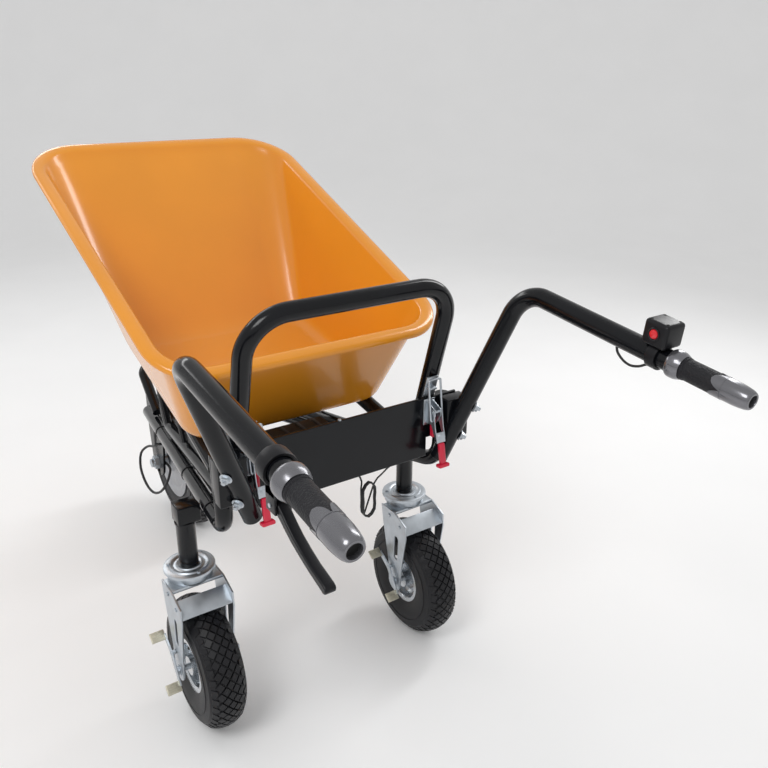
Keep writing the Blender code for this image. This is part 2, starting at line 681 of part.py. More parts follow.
def handles():
    total = COLLAR_LEN + SLEEVE_LEN + END_LEN
    for side, s in SIDES.items():
        corners = [sided(p, s) for p in (HANDLE_FOOT, HANDLE_BEND, grip_point(0))]
        path = bent_path(corners, HANDLE_BEND_R)
        handle = solid_mesh(tube(f"handle_{side}", path, HANDLE_R, BLACK, resolution=3))
        core_start, core_end = sided(grip_point(-0.01), s), sided(grip_point(total - 0.010), s)
        core = cylinder(f"handle_core_{side}", core_start, core_end, CORE_R, sides=12)
        unite(handle, core)

        (x0, x1), (z0, z1) = BRACKET_X, BRACKET_Z
        rear = BEAM_FRONT_Y - BEAM_THICK - GAP
        near, far = sorted((s * x0, s * x1))
        bracket = box(f"handle_bracket_{side}", (near, BRACKET_BACK, z0), (far, rear, z1), BLACK)
        groove = cylinder(
            f"bracket_groove_{side}", sided(leg_at(0.50), s), sided(leg_at(0.72), s), HANDLE_R + 2 * GAP, sides=24
        )
        cut(bracket, groove)
        outward = sided(square_to_leg(BOLT_OUTWARD), s)
        for k, z in enumerate(BOLT_Z):
            spot = sided(leg_at(z), s)
            reach = outward * 0.03
            hole = cylinder(f"bolt_hole_{side}_{k}", spot - reach, spot + reach, BOLT_R + GAP, sides=12)
            cut(handle, hole)
            seat = spot + outward * (HANDLE_R + 0.0008)
            shank_start, shank_end = spot - outward * 0.0215, seat + outward * 0.002
            shank = cylinder(f"bolt_{side}_{k}", shank_start, shank_end, BOLT_R, sides=12)
            head = cylinder(f"bolt_head_{side}_{k}", seat, seat + outward * 0.0055, 0.0085, sides=6)
            unite(bracket, shank, head)

        bore = CORE_R + 0.0005
        axis = sided(grip_point(1), s) - sided(grip_point(0), s)
        start = along(sided(grip_point(GAP), s), axis)
        collar = [
            (bore, 0.0), (HANDLE_R + 0.001, 0.0), (COLLAR_R, 0.005), (COLLAR_R, 0.018), (0.0200, COLLAR_LEN - GAP),
            (bore, COLLAR_LEN - GAP),
        ]
        turned(f"grip_collar_{side}", collar, 24, start, SILVER)
        name = "throttle_sleeve" if s > 0 else "grip_sleeve"
        sleeve = [(bore, 0.0), (SLEEVE_R, 0.0), (SLEEVE_R, SLEEVE_LEN - GAP), (bore, SLEEVE_LEN - GAP)]
        turned(name, sleeve, 24, along(sided(grip_point(COLLAR_LEN + GAP), s), axis), RUBBER)
        name = "throttle_end" if s > 0 else "grip_end"
        end = [
            (bore, 0.0), (SLEEVE_R + 0.0006, 0.0), (SLEEVE_R + 0.0006, 0.022), (0.0150, END_LEN - 0.003),
            (0.0130, END_LEN), (bore, END_LEN),
        ]
        turned(name, end, 24, along(sided(grip_point(COLLAR_LEN + SLEEVE_LEN + GAP), s), axis), SILVER)


def controls():
    # control box on the right handle, square to the tube, with the button on its inner face
    axis = (GRIP_END - HANDLE_BEND).normalized()
    pitch = math.atan2(-axis.z, -axis.y)
    centre = grip_point(-0.026)
    matrix = Matrix.Translation(centre) @ Matrix.Rotation(pitch, 4, "X")
    width, depth, height = BOX_SIZE
    base = HANDLE_R + 0.0008
    low, high = (-width / 2, -depth / 2, base), (width / 2, depth / 2, base + height)
    case = box("control_box", low, high, PLASTIC, bevel=0.004, matrix=matrix)
    ring = [(base, -0.009), (0.0225, -0.009), (0.0225, 0.009), (base, 0.009)]
    band = turned("box_band", ring, 24, along(centre, axis))
    button_z = base + 0.022
    well = cylinder("button_well", (0, 0, 0), (0.0080, 0, 0), BUTTON_R + 0.0005, sides=20)
    well.matrix_local = matrix @ x_axis_at(-width / 2 + 0.0030, 0, button_z)
    unite(case, band)
    cut(case, well)
    button = cylinder("red_button", (0, 0, 0), (0.0065, 0, 0), BUTTON_R, BUTTON_RED, sides=20)
    button.matrix_local = matrix @ x_axis_at(-width / 2 - 0.00005, 0, button_z)

    # brake lever and its perch on the left handle
    x = -grip_point(-0.026).x
    pivot_y, pivot_z = LEVER_PIVOT
    centre = sided(grip_point(-0.026), -1)
    axis = Vector((-axis.x, axis.y, axis.z))
    ring = [(base, -0.011), (0.0225, -0.011), (0.0225, 0.011), (base, 0.011)]
    perch = turned("brake_perch", ring, 24, along(centre, axis), PLASTIC)
    neck_top, neck_low = centre.z - 0.0195, pivot_z + 0.0115
    neck = box("perch_neck", (x - 0.0110, pivot_y - 0.014, neck_low), (x + 0.0110, pivot_y + 0.012, neck_top))
    ears = [
        box(
            f"perch_ear_{end}",
            (x + min(end * 0.0078, end * 0.0110), pivot_y - 0.0125, pivot_z - 0.009),
            (x + max(end * 0.0078, end * 0.0110), pivot_y + 0.0110, neck_top - 0.002),
        )
        for end in (-1, 1)
    ]
    pin = cylinder("perch_pin", (x - 0.0125, pivot_y, pivot_z), (x + 0.0125, pivot_y, pivot_z), 0.0030, sides=12)
    unite(perch, neck, *ears, pin)

    blade = Vector(LEVER_TIP) - Vector(LEVER_PIVOT)
    off = Vector((-blade.y, blade.x)).normalized()
    heading = math.degrees(math.atan2(blade.y, blade.x))
    near_side, far_side = [], []
    for t, width, bow in ((0.14, 0.0068, 0.0), (0.40, 0.0055, 0.005), (0.72, 0.0050, 0.004), (0.94, 0.0055, 0.0)):
        middle = Vector(LEVER_PIVOT) + blade * t + off * bow
        near_side.append(tuple(middle - off * width))
        far_side.append(tuple(middle + off * width))
    tip = arc(Vector(LEVER_PIVOT) + blade * 0.965, 0.0055, heading - 70, heading + 70, 4)
    eye = arc(LEVER_PIVOT, 0.0085, heading + 70, heading + 290, 8)
    hole = arc(LEVER_PIVOT, 0.0034, 0, 315, 7)
    plate("brake_lever", [near_side + tip + far_side[::-1] + eye, hole], 0.0145, across(x), PLASTIC)


# ---------------------------------------------------------------- toggle latches
def latch(side, s):
    x = s * LATCH_X
    rear = BEAM_FRONT_Y - BEAM_THICK - GAP
    pivot_y, pivot_z = LATCH_PIVOT
    base = box(f"latch_base_{side}", (x - 0.0135, rear - 0.0025, 0.594), (x + 0.0135, rear, 0.648), ZINC)
    ear = [(rear - 0.001, 0.598), (rear - 0.001, 0.646), (-0.2030, 0.634), (-0.2040, 0.622), (-0.1900, 0.600)]
    ears = [
        solid_mesh(plate(f"latch_ear_{side}_{end}", [ear], 0.0020, across(x + end * 0.0070))) for end in (-1, 1)
    ]
    pins = [
        cylinder(f"latch_pin_{side}", (x - 0.0112, *LATCH_PIVOT), (x + 0.0112, *LATCH_PIVOT), 0.0025, sides=10),
        cylinder(f"trigger_pin_{side}", (x - 0.0065, *TRIGGER_PIVOT), (x + 0.0065, *TRIGGER_PIVOT), 0.0018, sides=8),
    ]
    unite(base, *ears, *pins)

    arm = arc(LATCH_PIVOT, 0.0060, 0, 180, 6)
    arm += [(-0.2085, 0.600), (-0.2150, 0.578), (-0.2105, 0.576), (-0.1930, 0.606)]
    holes = [arc(LATCH_PIVOT, 0.0029, 0, 315, 7), arc(BAIL_PIVOT, 0.0026, 0, 315, 7)]
    arms = [
        solid_mesh(plate(f"lever_arm_{side}_{end}", [arm, *holes], 0.0020, across(x + end * 0.0098)))
        for end in (-1, 1)
    ]
    hang = Matrix.Translation((x, -0.2135, 0.578)) @ Matrix.Rotation(math.radians(-10), 4, "X")
    lever = box(f"latch_lever_{side}", (-0.0104, -0.0014, -0.009), (0.0104, 0.0016, 0.012), ZINC, matrix=hang)
    unite(lever, *arms)
    grip = box(f"latch_grip_{side}", (-0.0066, -0.0048, -0.058), (0.0066, 0.0044, -0.0095), RED, matrix=hang)
    foot = box(f"grip_foot_{side}", (-0.0125, -0.0078, -0.059), (0.0125, 0.0072, -0.0525), matrix=hang)
    unite(grip, foot)

    top = Vector((0, *BAIL_TOP))
    low = Vector((0, *BAIL_PIVOT))
    inside, outside = Vector((0.0084, 0, 0)), Vector((BAIL_HALF, 0, 0))
    corners = [low - inside, low - outside, top - outside, top + outside, low + outside, low + inside]
    corners = [c + Vector((x, 0, 0)) for c in corners]
    points = [corners[0]]
    for k in range(4):
        points += bent_path(corners[k : k + 3], 0.0034, math.radians(30))[1:-1]
    points.append(corners[-1])
    tube(f"latch_bail_{side}", points, BAIL_R, ZINC, resolution=2)

    trigger = arc(TRIGGER_PIVOT, 0.0050, -20, 200, 6)
    trigger += [(-0.1930, 0.584), (-0.1925, 0.572), (-0.1845, 0.572), (-0.1830, 0.590)]
    hole = arc(TRIGGER_PIVOT, 0.0022, 0, 315, 7)
    plate(f"latch_trigger_{side}", [trigger, hole], 0.0080, across(x), RED)


# ---------------------------------------------------------------- cables
MOTOR_CABLE = [
    (-0.1127, 0.600, 0.3620), (-0.1125, 0.612, 0.335), (-0.1030, 0.648, 0.292), (-0.0930, 0.700, 0.256),
    (-0.0950, 0.752, 0.233), (-0.1050, 0.787, 0.200), (-0.1120, 0.782, 0.157), (-0.1130, 0.742, 0.125),
    (-0.1100, 0.692, 0.119), (-0.1030, 0.645, 0.142), (-0.0930, 0.616, 0.180), (-0.0800, 0.623, 0.203),
    (-0.0690, 0.655, 0.202), (-0.0665, 0.6930, 0.200),
]
THROTTLE_LEAD = [
    (0.3352, -0.4920, 0.8225), (0.3348, -0.4960, 0.8130), (0.3340, -0.5100, 0.8035), (0.3335, -0.5260, 0.8000),
    (0.3340, -0.5420, 0.8035), (0.3352, -0.5530, 0.8095), (0.3355, -0.5605, 0.8125),
]
LEAD_START = [(0.0600, -0.1003, 0.4950), (0.0600, -0.1180, 0.4930), (0.0580, -0.1330, 0.4850)]
LEAD_LOOP = {"x": 0.0660, "y": -0.1400, "half_width": 0.0140, "top": 0.4740, "bottom": 0.4230, "pitch": 0.0050}
LEAD_END = [
    (0.1020, -0.1100, 0.4560), (0.1400, -0.0800, 0.4520), (0.1900, -0.0500, 0.4500), (0.2280, -0.0370, 0.4450),
    (0.2420, -0.0260, 0.4440), (0.2420, -0.0196, 0.4440),
]


def lead_turns():
    """Two and a half long turns of the spare lead, each a little nearer the rear beam."""
    spec = LEAD_LOOP
    points = []
    for half_turn in range(5):
        going_down = half_turn % 2 == 0
        sign = -1 if going_down else 1
        depth = spec["y"] - spec["pitch"] * half_turn / 2
        ends = (spec["top"], spec["bottom"]) if going_down else (spec["bottom"], spec["top"])
        for t in (0.0, 0.5, 1.0):
            z = ends[0] + (ends[1] - ends[0]) * t
            points.append((spec["x"] + sign * spec["half_width"], depth - spec["pitch"] * t / 4, z))
        if half_turn < 4:
            z, fall = ends[1], -spec["half_width"] if going_down else spec["half_width"]
            points.append((spec["x"], depth - spec["pitch"] * 0.38, z + fall))
    return points


def cables():
    tube("motor_cable", smooth_path(MOTOR_CABLE, 3), 0.0035, CABLE)
    tube("throttle_lead", smooth_path(THROTTLE_LEAD, 3), 0.0022, CABLE)
    tube("spare_lead", smooth_path(LEAD_START + lead_turns() + LEAD_END, 2), 0.0018, CABLE)


tub()
tipping_frame()
cradle()
chassis()
battery()
drive_wheel()
handles()
controls()
for side_name, side_sign in SIDES.items():
    caster(side_name, side_sign)
    latch(side_name, side_sign)
cables()
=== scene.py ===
"""The looks of the power wheelbarrow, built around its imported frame.

Places are written in the drafting frame of the CAD source, whose y = 0 is the line through the caster
swivels. SHIFT_Y moves them into the row frame. Metres throughout.
"""

import json
import math

import bmesh
import bpy
import numpy as np
from mathutils import Matrix, Vector


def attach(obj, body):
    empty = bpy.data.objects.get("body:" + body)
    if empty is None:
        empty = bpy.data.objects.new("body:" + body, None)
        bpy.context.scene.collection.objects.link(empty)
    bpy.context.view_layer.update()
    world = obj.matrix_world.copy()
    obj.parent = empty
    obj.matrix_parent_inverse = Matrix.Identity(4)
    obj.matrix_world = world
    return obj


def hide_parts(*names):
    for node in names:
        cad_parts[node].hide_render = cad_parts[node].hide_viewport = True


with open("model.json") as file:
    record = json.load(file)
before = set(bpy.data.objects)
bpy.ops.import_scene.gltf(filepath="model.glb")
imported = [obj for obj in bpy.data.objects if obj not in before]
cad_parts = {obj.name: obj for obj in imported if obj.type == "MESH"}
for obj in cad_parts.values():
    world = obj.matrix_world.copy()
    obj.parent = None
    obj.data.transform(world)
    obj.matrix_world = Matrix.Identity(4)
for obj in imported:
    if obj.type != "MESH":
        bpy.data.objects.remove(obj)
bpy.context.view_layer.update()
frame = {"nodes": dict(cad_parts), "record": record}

SHIFT_Y = -0.0821
GAP = 0.0003  # between pieces that touch
CASTER_X = 0.257
TOP_PLATE_Z = 0.332
SIDES = {"left": -1, "right": 1}
RIGHT_ANGLE = math.radians(90)


# ---------------------------------------------------------------- camera and studio
def aim_camera():
    """A pinhole camera solved from mirrored pairs of points, with a small roll."""
    yaw, pitch, roll = (math.radians(a) for a in (35.55, 21.68, 0.95))
    ahead = Vector((math.sin(yaw) * math.cos(pitch), math.cos(yaw) * math.cos(pitch), -math.sin(pitch)))
    right = Vector((math.cos(yaw), -math.sin(yaw), 0))
    up = right.cross(ahead)
    rolled_right = right * math.cos(roll) + up * math.sin(roll)
    rolled_up = up * math.cos(roll) - right * math.sin(roll)
    data = bpy.data.cameras.new("camera")
    data.sensor_width = 36
    data.lens = 37.774
    data.shift_x, data.shift_y = -0.0255, -0.0111
    camera = bpy.data.objects.new("camera", data)
    turn = Matrix((rolled_right, rolled_up, -ahead)).transposed().to_4x4()
    camera.matrix_world = Matrix.Translation((-0.692, -1.4011, 1.269)) @ turn
    bpy.context.scene.collection.objects.link(camera)
    bpy.context.scene.camera = camera


def area_light(name, place, target, size, watts):
    data = bpy.data.lights.new(name, "AREA")
    data.shape = "RECTANGLE"
    data.size, data.size_y = size
    data.energy = watts
    light = bpy.data.objects.new(name, data)
    light.location = place
    light.rotation_euler = (Vector(target) - Vector(place)).to_track_quat("-Z", "Y").to_euler()
    bpy.context.scene.collection.objects.link(light)


def studio():
    world = bpy.data.worlds.new("studio")
    world.use_nodes = True
    background = world.node_tree.nodes["Background"]
    background.inputs["Color"].default_value = (1, 1, 1, 1)
    background.inputs["Strength"].default_value = 0.62
    bpy.context.scene.world = world
    bpy.context.scene.view_settings.view_transform = "Standard"
    area_light("key", (-1.9, -1.2, 2.9), (0, 0, 0.6), (1.2, 1.2), 34)
    area_light("window", (2.3, 0.4, 2.2), (0, 0.1, 0.7), (0.4, 2.0), 20)
    area_light("back", (-0.6, 2.8, 2.4), (0, 0, 0.8), (2.4, 0.4), 16)

    # one pale sheet: the floor, which curves up into a backdrop far behind the machine
    wall_y, curve_r, half_width = 7.0, 3.0, 16.0
    section = [(-9.0, 0.0), (wall_y - curve_r, 0.0)]
    section += arc((wall_y - curve_r, curve_r), curve_r, -90, 0, 16)[1:]
    section.append((wall_y, 14.0))
    bm = bmesh.new()
    rows = [[bm.verts.new((x, y, z)) for x in (-half_width, half_width)] for y, z in section]
    for first, second in zip(rows, rows[1:]):
        bm.faces.new((first[0], first[1], second[1], second[0]))
    sheet = finished(bm, Matrix.Rotation(math.radians(-35.55), 4, "Z"))
    sheet.shade_smooth()
    sheet.materials.append(speckled("studio_sheet", (0.97, 0.97, 0.97), 0.7, tone=0.01, tone_size=3))
    floor = bpy.data.objects.new("floor", sheet)
    floor.location.z = -0.0005
    bpy.context.scene.collection.objects.link(floor)


# ---------------------------------------------------------------- materials
def speckled(name, colour, roughness, metallic=0.0, coat=0.0, tone=0.06, tone_size=12, grain=0.0,
             grain_size=400, wear=0.08, stretch=(1, 1, 1), specular=0.5):
    """A finish whose colour and roughness drift slowly, with a fine grain in its surface."""
    made = bpy.data.materials.new(name)
    made.use_nodes = True
    nodes, links = made.node_tree.nodes, made.node_tree.links
    shader = nodes["Principled BSDF"]
    shader.inputs["Metallic"].default_value = metallic
    shader.inputs["Coat Weight"].default_value = coat
    shader.inputs["Specular IOR Level"].default_value = specular
    shader.inputs["Coat Roughness"].default_value = 0.06
    coords = nodes.new("ShaderNodeTexCoord")
    stretched = nodes.new("ShaderNodeMapping")
    stretched.inputs["Scale"].default_value = stretch
    links.new(coords.outputs["Object"], stretched.inputs["Vector"])

    drift = nodes.new("ShaderNodeTexNoise")
    drift.inputs["Scale"].default_value = tone_size
    drift.inputs["Detail"].default_value = 5
    links.new(stretched.outputs["Vector"], drift.inputs["Vector"])
    ramp = nodes.new("ShaderNodeValToRGB")
    for stop, factor in zip(ramp.color_ramp.elements, (1 - tone, 1 + tone)):
        stop.color = (*(min(1, c * factor) for c in colour), 1)
    ramp.color_ramp.elements[0].position = 0.3
    ramp.color_ramp.elements[1].position = 0.7
    links.new(drift.outputs["Fac"], ramp.inputs["Fac"])
    links.new(ramp.outputs["Color"], shader.inputs["Base Color"])

    scuff = nodes.new("ShaderNodeMapRange")
    scuff.inputs["To Min"].default_value = max(0.02, roughness - wear)
    scuff.inputs["To Max"].default_value = roughness + wear
    links.new(drift.outputs["Fac"], scuff.inputs["Value"])
    links.new(scuff.outputs["Result"], shader.inputs["Roughness"])

    if grain:
        fine = nodes.new("ShaderNodeTexNoise")
        fine.inputs["Scale"].default_value = grain_size
        fine.inputs["Detail"].default_value = 3
        links.new(stretched.outputs["Vector"], fine.inputs["Vector"])
        bump = nodes.new("ShaderNodeBump")
        bump.inputs["Strength"].default_value = grain
        bump.inputs["Distance"].default_value = 0.0006
        links.new(fine.outputs["Fac"], bump.inputs["Height"])
        links.new(bump.outputs["Normal"], shader.inputs["Normal"])
    return made


def pebbled(name, colour, roughness, cell_size):
    """Rubber with raised cells, as on a moulded grip."""
    made = speckled(name, colour, roughness, tone=0.12, tone_size=30, specular=0.3)
    nodes, links = made.node_tree.nodes, made.node_tree.links
    coords = nodes.new("ShaderNodeTexCoord")
    cells = nodes.new("ShaderNodeTexVoronoi")
    cells.inputs["Scale"].default_value = cell_size
    links.new(coords.outputs["Object"], cells.inputs["Vector"])
    bump = nodes.new("ShaderNodeBump")
    bump.inputs["Strength"].default_value = 0.9
    bump.inputs["Distance"].default_value = 0.0012
    bump.invert = True
    links.new(cells.outputs["Distance"], bump.inputs["Height"])
    links.new(bump.outputs["Normal"], nodes["Principled BSDF"].inputs["Normal"])
    return made


FINISHES = {
    "tub_orange": speckled("paint_orange", (0.80, 0.30, 0.016), 0.22, coat=0.35, tone=0.035, tone_size=5,
                           grain=0.04, grain_size=90, wear=0.04),
    "frame_black": speckled("paint_black", (0.004, 0.0045, 0.006), 0.16, tone=0.2, grain=0.04,
                            grain_size=160, wear=0.05, specular=0.30),
    "zinc_plate": speckled("zinc", (0.54, 0.58, 0.62), 0.38, 1.0, tone=0.10, tone_size=38, grain=0.10,
                           grain_size=260, wear=0.10),
    "rim_steel": speckled("rim_steel", (0.66, 0.69, 0.72), 0.26, 1.0, tone=0.06, tone_size=25, grain=0.04),
    "tyre_rubber": speckled("tyre", (0.007, 0.007, 0.009), 0.48, tone=0.30, tone_size=30, grain=0.25,
                            grain_size=700, wear=0.10, specular=0.35),
    "grip_silver": speckled("grip_silver", (0.20, 0.20, 0.215), 0.24, 0.75, coat=0.25, tone=0.05,
                            tone_size=20, grain=0.03),
    "grip_rubber": pebbled("grip_rubber", (0.012, 0.012, 0.015), 0.55, 420),
    "black_plastic": speckled("black_plastic", (0.007, 0.007, 0.009), 0.36, tone=0.15, grain=0.15,
                              grain_size=900, specular=0.3),
    "latch_red": speckled("red_vinyl", (0.62, 0.012, 0.045), 0.30, tone=0.10, coat=0.2, grain=0.06),
    "button_red": speckled("button_red", (0.70, 0.02, 0.03), 0.22, tone=0.06, coat=0.4),
    "cable_black": speckled("cable_jacket", (0.010, 0.010, 0.011), 0.48, tone=0.25, grain=0.10),
    "cast_aluminium": speckled("cast_alloy", (0.42, 0.43, 0.45), 0.42, 1.0, tone=0.10, tone_size=40,
                               grain=0.35, grain_size=500),
    "stator_copper": speckled("windings", (0.55, 0.25, 0.12), 0.42, 1.0, tone=0.25, stretch=(1, 1, 12)),
    "pack_wrap": speckled("pack_wrap", (0.03, 0.08, 0.22), 0.45, tone=0.15, grain=0.10),
    "pad_cream": speckled("pad_cream", (0.60, 0.57, 0.46), 0.38, 0.6, tone=0.10, tone_size=60, grain=0.15),
    # near-black matte painted shade, standing in for the dark inside holes and bores
    "painted_hole_shade": speckled("painted_hole_shade", (0.004, 0.004, 0.004), 0.80, tone=0.3),
}


# ---------------------------------------------------------------- mesh helpers
def along(origin, direction):
    """The matrix that puts local +Z along a direction, at an origin."""
    turn = Vector((0, 0, 1)).rotation_difference(Vector(direction)).to_matrix().to_4x4()
    return Matrix.Translation(origin) @ turn


def across(x=0.0):
    """The matrix of a flat outline drawn in (y, z), whose thickness runs along x."""
    turn = Matrix(((0, 0, 1), (1, 0, 0), (0, 1, 0))).to_4x4()
    return Matrix.Translation((x, 0, 0)) @ turn


def sided(point, sign):
    return Vector((point[0] * sign, point[1], point[2]))


def finished(bm, matrix=None):
    """A mesh from the bmesh, with its normals outward, moved by the matrix."""
    bmesh.ops.recalc_face_normals(bm, faces=bm.faces)
    if matrix is not None:
        bm.transform(matrix)
    data = bpy.data.meshes.new("shape")
    bm.to_mesh(data)
    bm.free()
    return data


def block(low, high, edge=0.001, matrix=None, segments=3):
    """A box with rounded edges."""
    bm = bmesh.new()
    bmesh.ops.create_cube(bm, size=1.0)
    bmesh.ops.scale(bm, vec=[b - a for a, b in zip(low, high)], verts=bm.verts)
    bmesh.ops.translate(bm, vec=[(a + b) / 2 for a, b in zip(low, high)], verts=bm.verts)
    bmesh.ops.bevel(bm, geom=bm.edges[:], offset=edge, segments=segments, profile=0.5, affect="EDGES")
    return finished(bm, matrix)


def rod(start, end, radius, sides=32, edge=0.0006):
    """A cylinder with softened rims."""
    start, end = Vector(start), Vector(end)
    length = (end - start).length
    edge = min(edge, radius / 3, length / 3)
    profile = [(0, 0), (radius - edge, 0), (radius, edge)]
    profile += [(radius, length - edge), (radius - edge, length), (0, length)]
    return lathe(profile, along(start, end - start), sides, closed=False)


def lathe(profile, matrix, steps=64, closed=True):
    """A profile of (radius, height) points turned about the matrix's local Z."""
    bm = bmesh.new()
    rings = []
    for radius, height in profile:
        if radius < 1e-6:
            rings.append([bm.verts.new((0, 0, height))])
            continue
        turns = (2 * math.pi * k / steps for k in range(steps))
        rings.append([bm.verts.new((radius * math.cos(a), radius * math.sin(a), height)) for a in turns])
    pairs = list(zip(rings, rings[1:]))
    if closed:
        pairs.append((rings[-1], rings[0]))
    for first, second in pairs:
        for k in range(steps):
            j = (k + 1) % steps
            spots = ((first, k), (first, j), (second, j), (second, k))
            corners = list(dict.fromkeys(ring[n % len(ring)] for ring, n in spots))
            if len(corners) > 2:
                bm.faces.new(corners)
    return finished(bm, matrix)


def mirrored_profile(half):
    """A whole wheel section from its half, which starts on the wheel's middle plane."""
    return list(half) + [(r, -h) for r, h in reversed(half) if h > 0]


def baked(curve, matrix=None):
    """The mesh of a curve."""
    temp = bpy.data.objects.new("temp", curve)
    bpy.context.scene.collection.objects.link(temp)
    bpy.context.view_layer.update()
    seen = temp.evaluated_get(bpy.context.evaluated_depsgraph_get())
    data = bpy.data.meshes.new_from_object(seen)
    bpy.data.objects.remove(temp)
    if matrix is not None:
        data.transform(matrix)
    return data


def pressed(outlines, thickness, matrix, edge=0.0006):
    """A flat outline and its holes, of a thickness, with rounded edges."""
    data = bpy.data.curves.new("outline", "CURVE")
    data.dimensions = "2D"
    data.fill_mode = "BOTH"
    data.extrude = thickness / 2 - edge
    data.bevel_depth = edge
    data.bevel_resolution = 2
    data.offset = -edge
    for outline in outlines:
        spline = data.splines.new("POLY")
        spline.points.add(len(outline) - 1)
        for spot, (u, v) in zip(spline.points, outline):
            spot.co = (u, v, 0, 1)
        spline.use_cyclic_u = True
    return baked(data, matrix)


def pipe_curve(points, radius, resolution=6):
    data = bpy.data.curves.new("pipe", "CURVE")
    data.dimensions = "3D"
    spline = data.splines.new("POLY")
    spline.points.add(len(points) - 1)
    for spot, point in zip(spline.points, points):
        spot.co = (*point, 1)
    data.bevel_depth = radius
    data.bevel_resolution = resolution
    data.use_fill_caps = True
    return data


def pipe(points, radius, resolution=6):
    return baked(pipe_curve(points, radius, resolution))


def arc(centre, radius, start, end, count):
    angles = [math.radians(start + (end - start) * k / count) for k in range(count + 1)]
    return [(centre[0] + radius * math.cos(a), centre[1] + radius * math.sin(a)) for a in angles]


def bent_path(corners, radius, step=math.radians(5)):
    """Points of a path through these corners, with an arc of the radius at each inner one."""
    points = [corners[0]]
    for before, corner, after in zip(corners, corners[1:], corners[2:]):
        back = (before - corner).normalized()
        on = (after - corner).normalized()
        half = back.angle(on) / 2
        centre = corner + (back + on).normalized() * radius / math.sin(half)
        first = corner + back * radius / math.tan(half) - centre
        last = corner + on * radius / math.tan(half) - centre
        turn = first.angle(last)
        count = max(2, round(turn / step))
        for k in range(count + 1):
            points.append(centre + Matrix.Rotation(turn * k / count, 3, first.cross(last)) @ first)
    points.append(corners[-1])
    return points


def bent_loop(corners, radii, step=math.radians(5)):
    """As bent_path, with a radius of its own at each inner corner."""
    points = [corners[0]]
    for k, radius in enumerate(radii):
        points += bent_path(corners[k : k + 3], radius, step)[1:-1]
    points.append(corners[-1])
    return points


def smooth_path(knots, per_span):
    """Points on a Catmull-Rom curve through the knots."""
    knots = [Vector(k) for k in knots]
    ends = [2 * knots[0] - knots[1], *knots, 2 * knots[-1] - knots[-2]]
    points = []
    for a, b, c, d in zip(ends, ends[1:], ends[2:], ends[3:]):
        for k in range(per_span):
            t = k / per_span
            curve = (2 * a - 5 * b + 4 * c - d) * t**2 + (3 * b - a - 3 * c + d) * t**3
            points.append(b + ((c - a) * t + curve) / 2)
    points.append(knots[-1])
    return points


def bolt(spot, direction, radius=0.0065, height=0.005, washer=True):
    """The zinc parts of a hexagon head with a washer, its underside at the spot."""
    matrix = along(spot, direction)
    low = 0.0012 if washer else 0.0
    top = low + height
    profile = [(0, low), (radius, low), (radius, low + height * 0.8), (radius * 0.82, top), (0, top)]
    meshes = [lathe(profile, matrix, 6, closed=False)]
    if washer:
        disc = [(0, 0), (radius * 1.35, 0), (radius * 1.35, low), (0, low)]
        meshes.append(lathe(disc, matrix, 24, closed=False))
    return [(mesh, "zinc_plate") for mesh in meshes]


def piece(name, body, parts, stands_for=(), smooth=35):
    """One object from (mesh, finish) parts in the drafting frame, riding on a body."""
    bm = bmesh.new()
    slots = []
    for mesh, finish in parts:
        if finish not in slots:
            slots.append(finish)
        start = len(bm.faces)
        bm.from_mesh(mesh)
        bm.faces.ensure_lookup_table()
        for face in bm.faces[start:]:
            face.material_index = slots.index(finish)
        bpy.data.meshes.remove(mesh)
    bm.transform(Matrix.Translation((0, SHIFT_Y, 0)))
    data = bpy.data.meshes.new(name)
    bm.to_mesh(data)
    bm.free()
    data.shade_smooth()
    data.set_sharp_from_angle(angle=math.radians(smooth))
    for finish in slots:
        data.materials.append(FINISHES[finish])
    obj = bpy.data.objects.new(name, data)
    bpy.context.scene.collection.objects.link(obj)
    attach(obj, body)
    if stands_for:
        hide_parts(*stands_for)
    return obj


aim_camera()
studio()

# ---------------------------------------------------------------- cords
MOTOR_CABLE = [
    (-0.1127, 0.600, 0.3620), (-0.1125, 0.612, 0.335), (-0.1030, 0.648, 0.292), (-0.0930, 0.700, 0.256),
    (-0.0950, 0.752, 0.233), (-0.1050, 0.787, 0.200), (-0.1120, 0.782, 0.157), (-0.1130, 0.742, 0.125),
    (-0.1100, 0.692, 0.119), (-0.1030, 0.645, 0.142), (-0.0930, 0.616, 0.180), (-0.0800, 0.623, 0.203),
    (-0.0690, 0.655, 0.202), (-0.0665, 0.6930, 0.200),
]
THROTTLE_LEAD = [
    (0.3352, -0.4920, 0.8225), (0.3348, -0.4960, 0.8130), (0.3340, -0.5100, 0.8035),
    (0.3335, -0.5260, 0.8000), (0.3340, -0.5420, 0.8035), (0.3352, -0.5530, 0.8095),
    (0.3355, -0.5605, 0.8125),
]
LEAD_START = [(0.0600, -0.1003, 0.4950), (0.0600, -0.1180, 0.4930), (0.0580, -0.1330, 0.4850)]
LEAD_LOOP = {"x": 0.0660, "y": -0.1400, "half_width": 0.0140, "top": 0.4740, "bottom": 0.4230, "pitch": 0.005}
LEAD_END = [
    (0.1020, -0.1100, 0.4560), (0.1400, -0.0800, 0.4520), (0.1900, -0.0500, 0.4500),
    (0.2280, -0.0370, 0.4450), (0.2420, -0.0260, 0.4440), (0.2420, -0.0196, 0.4440),
]


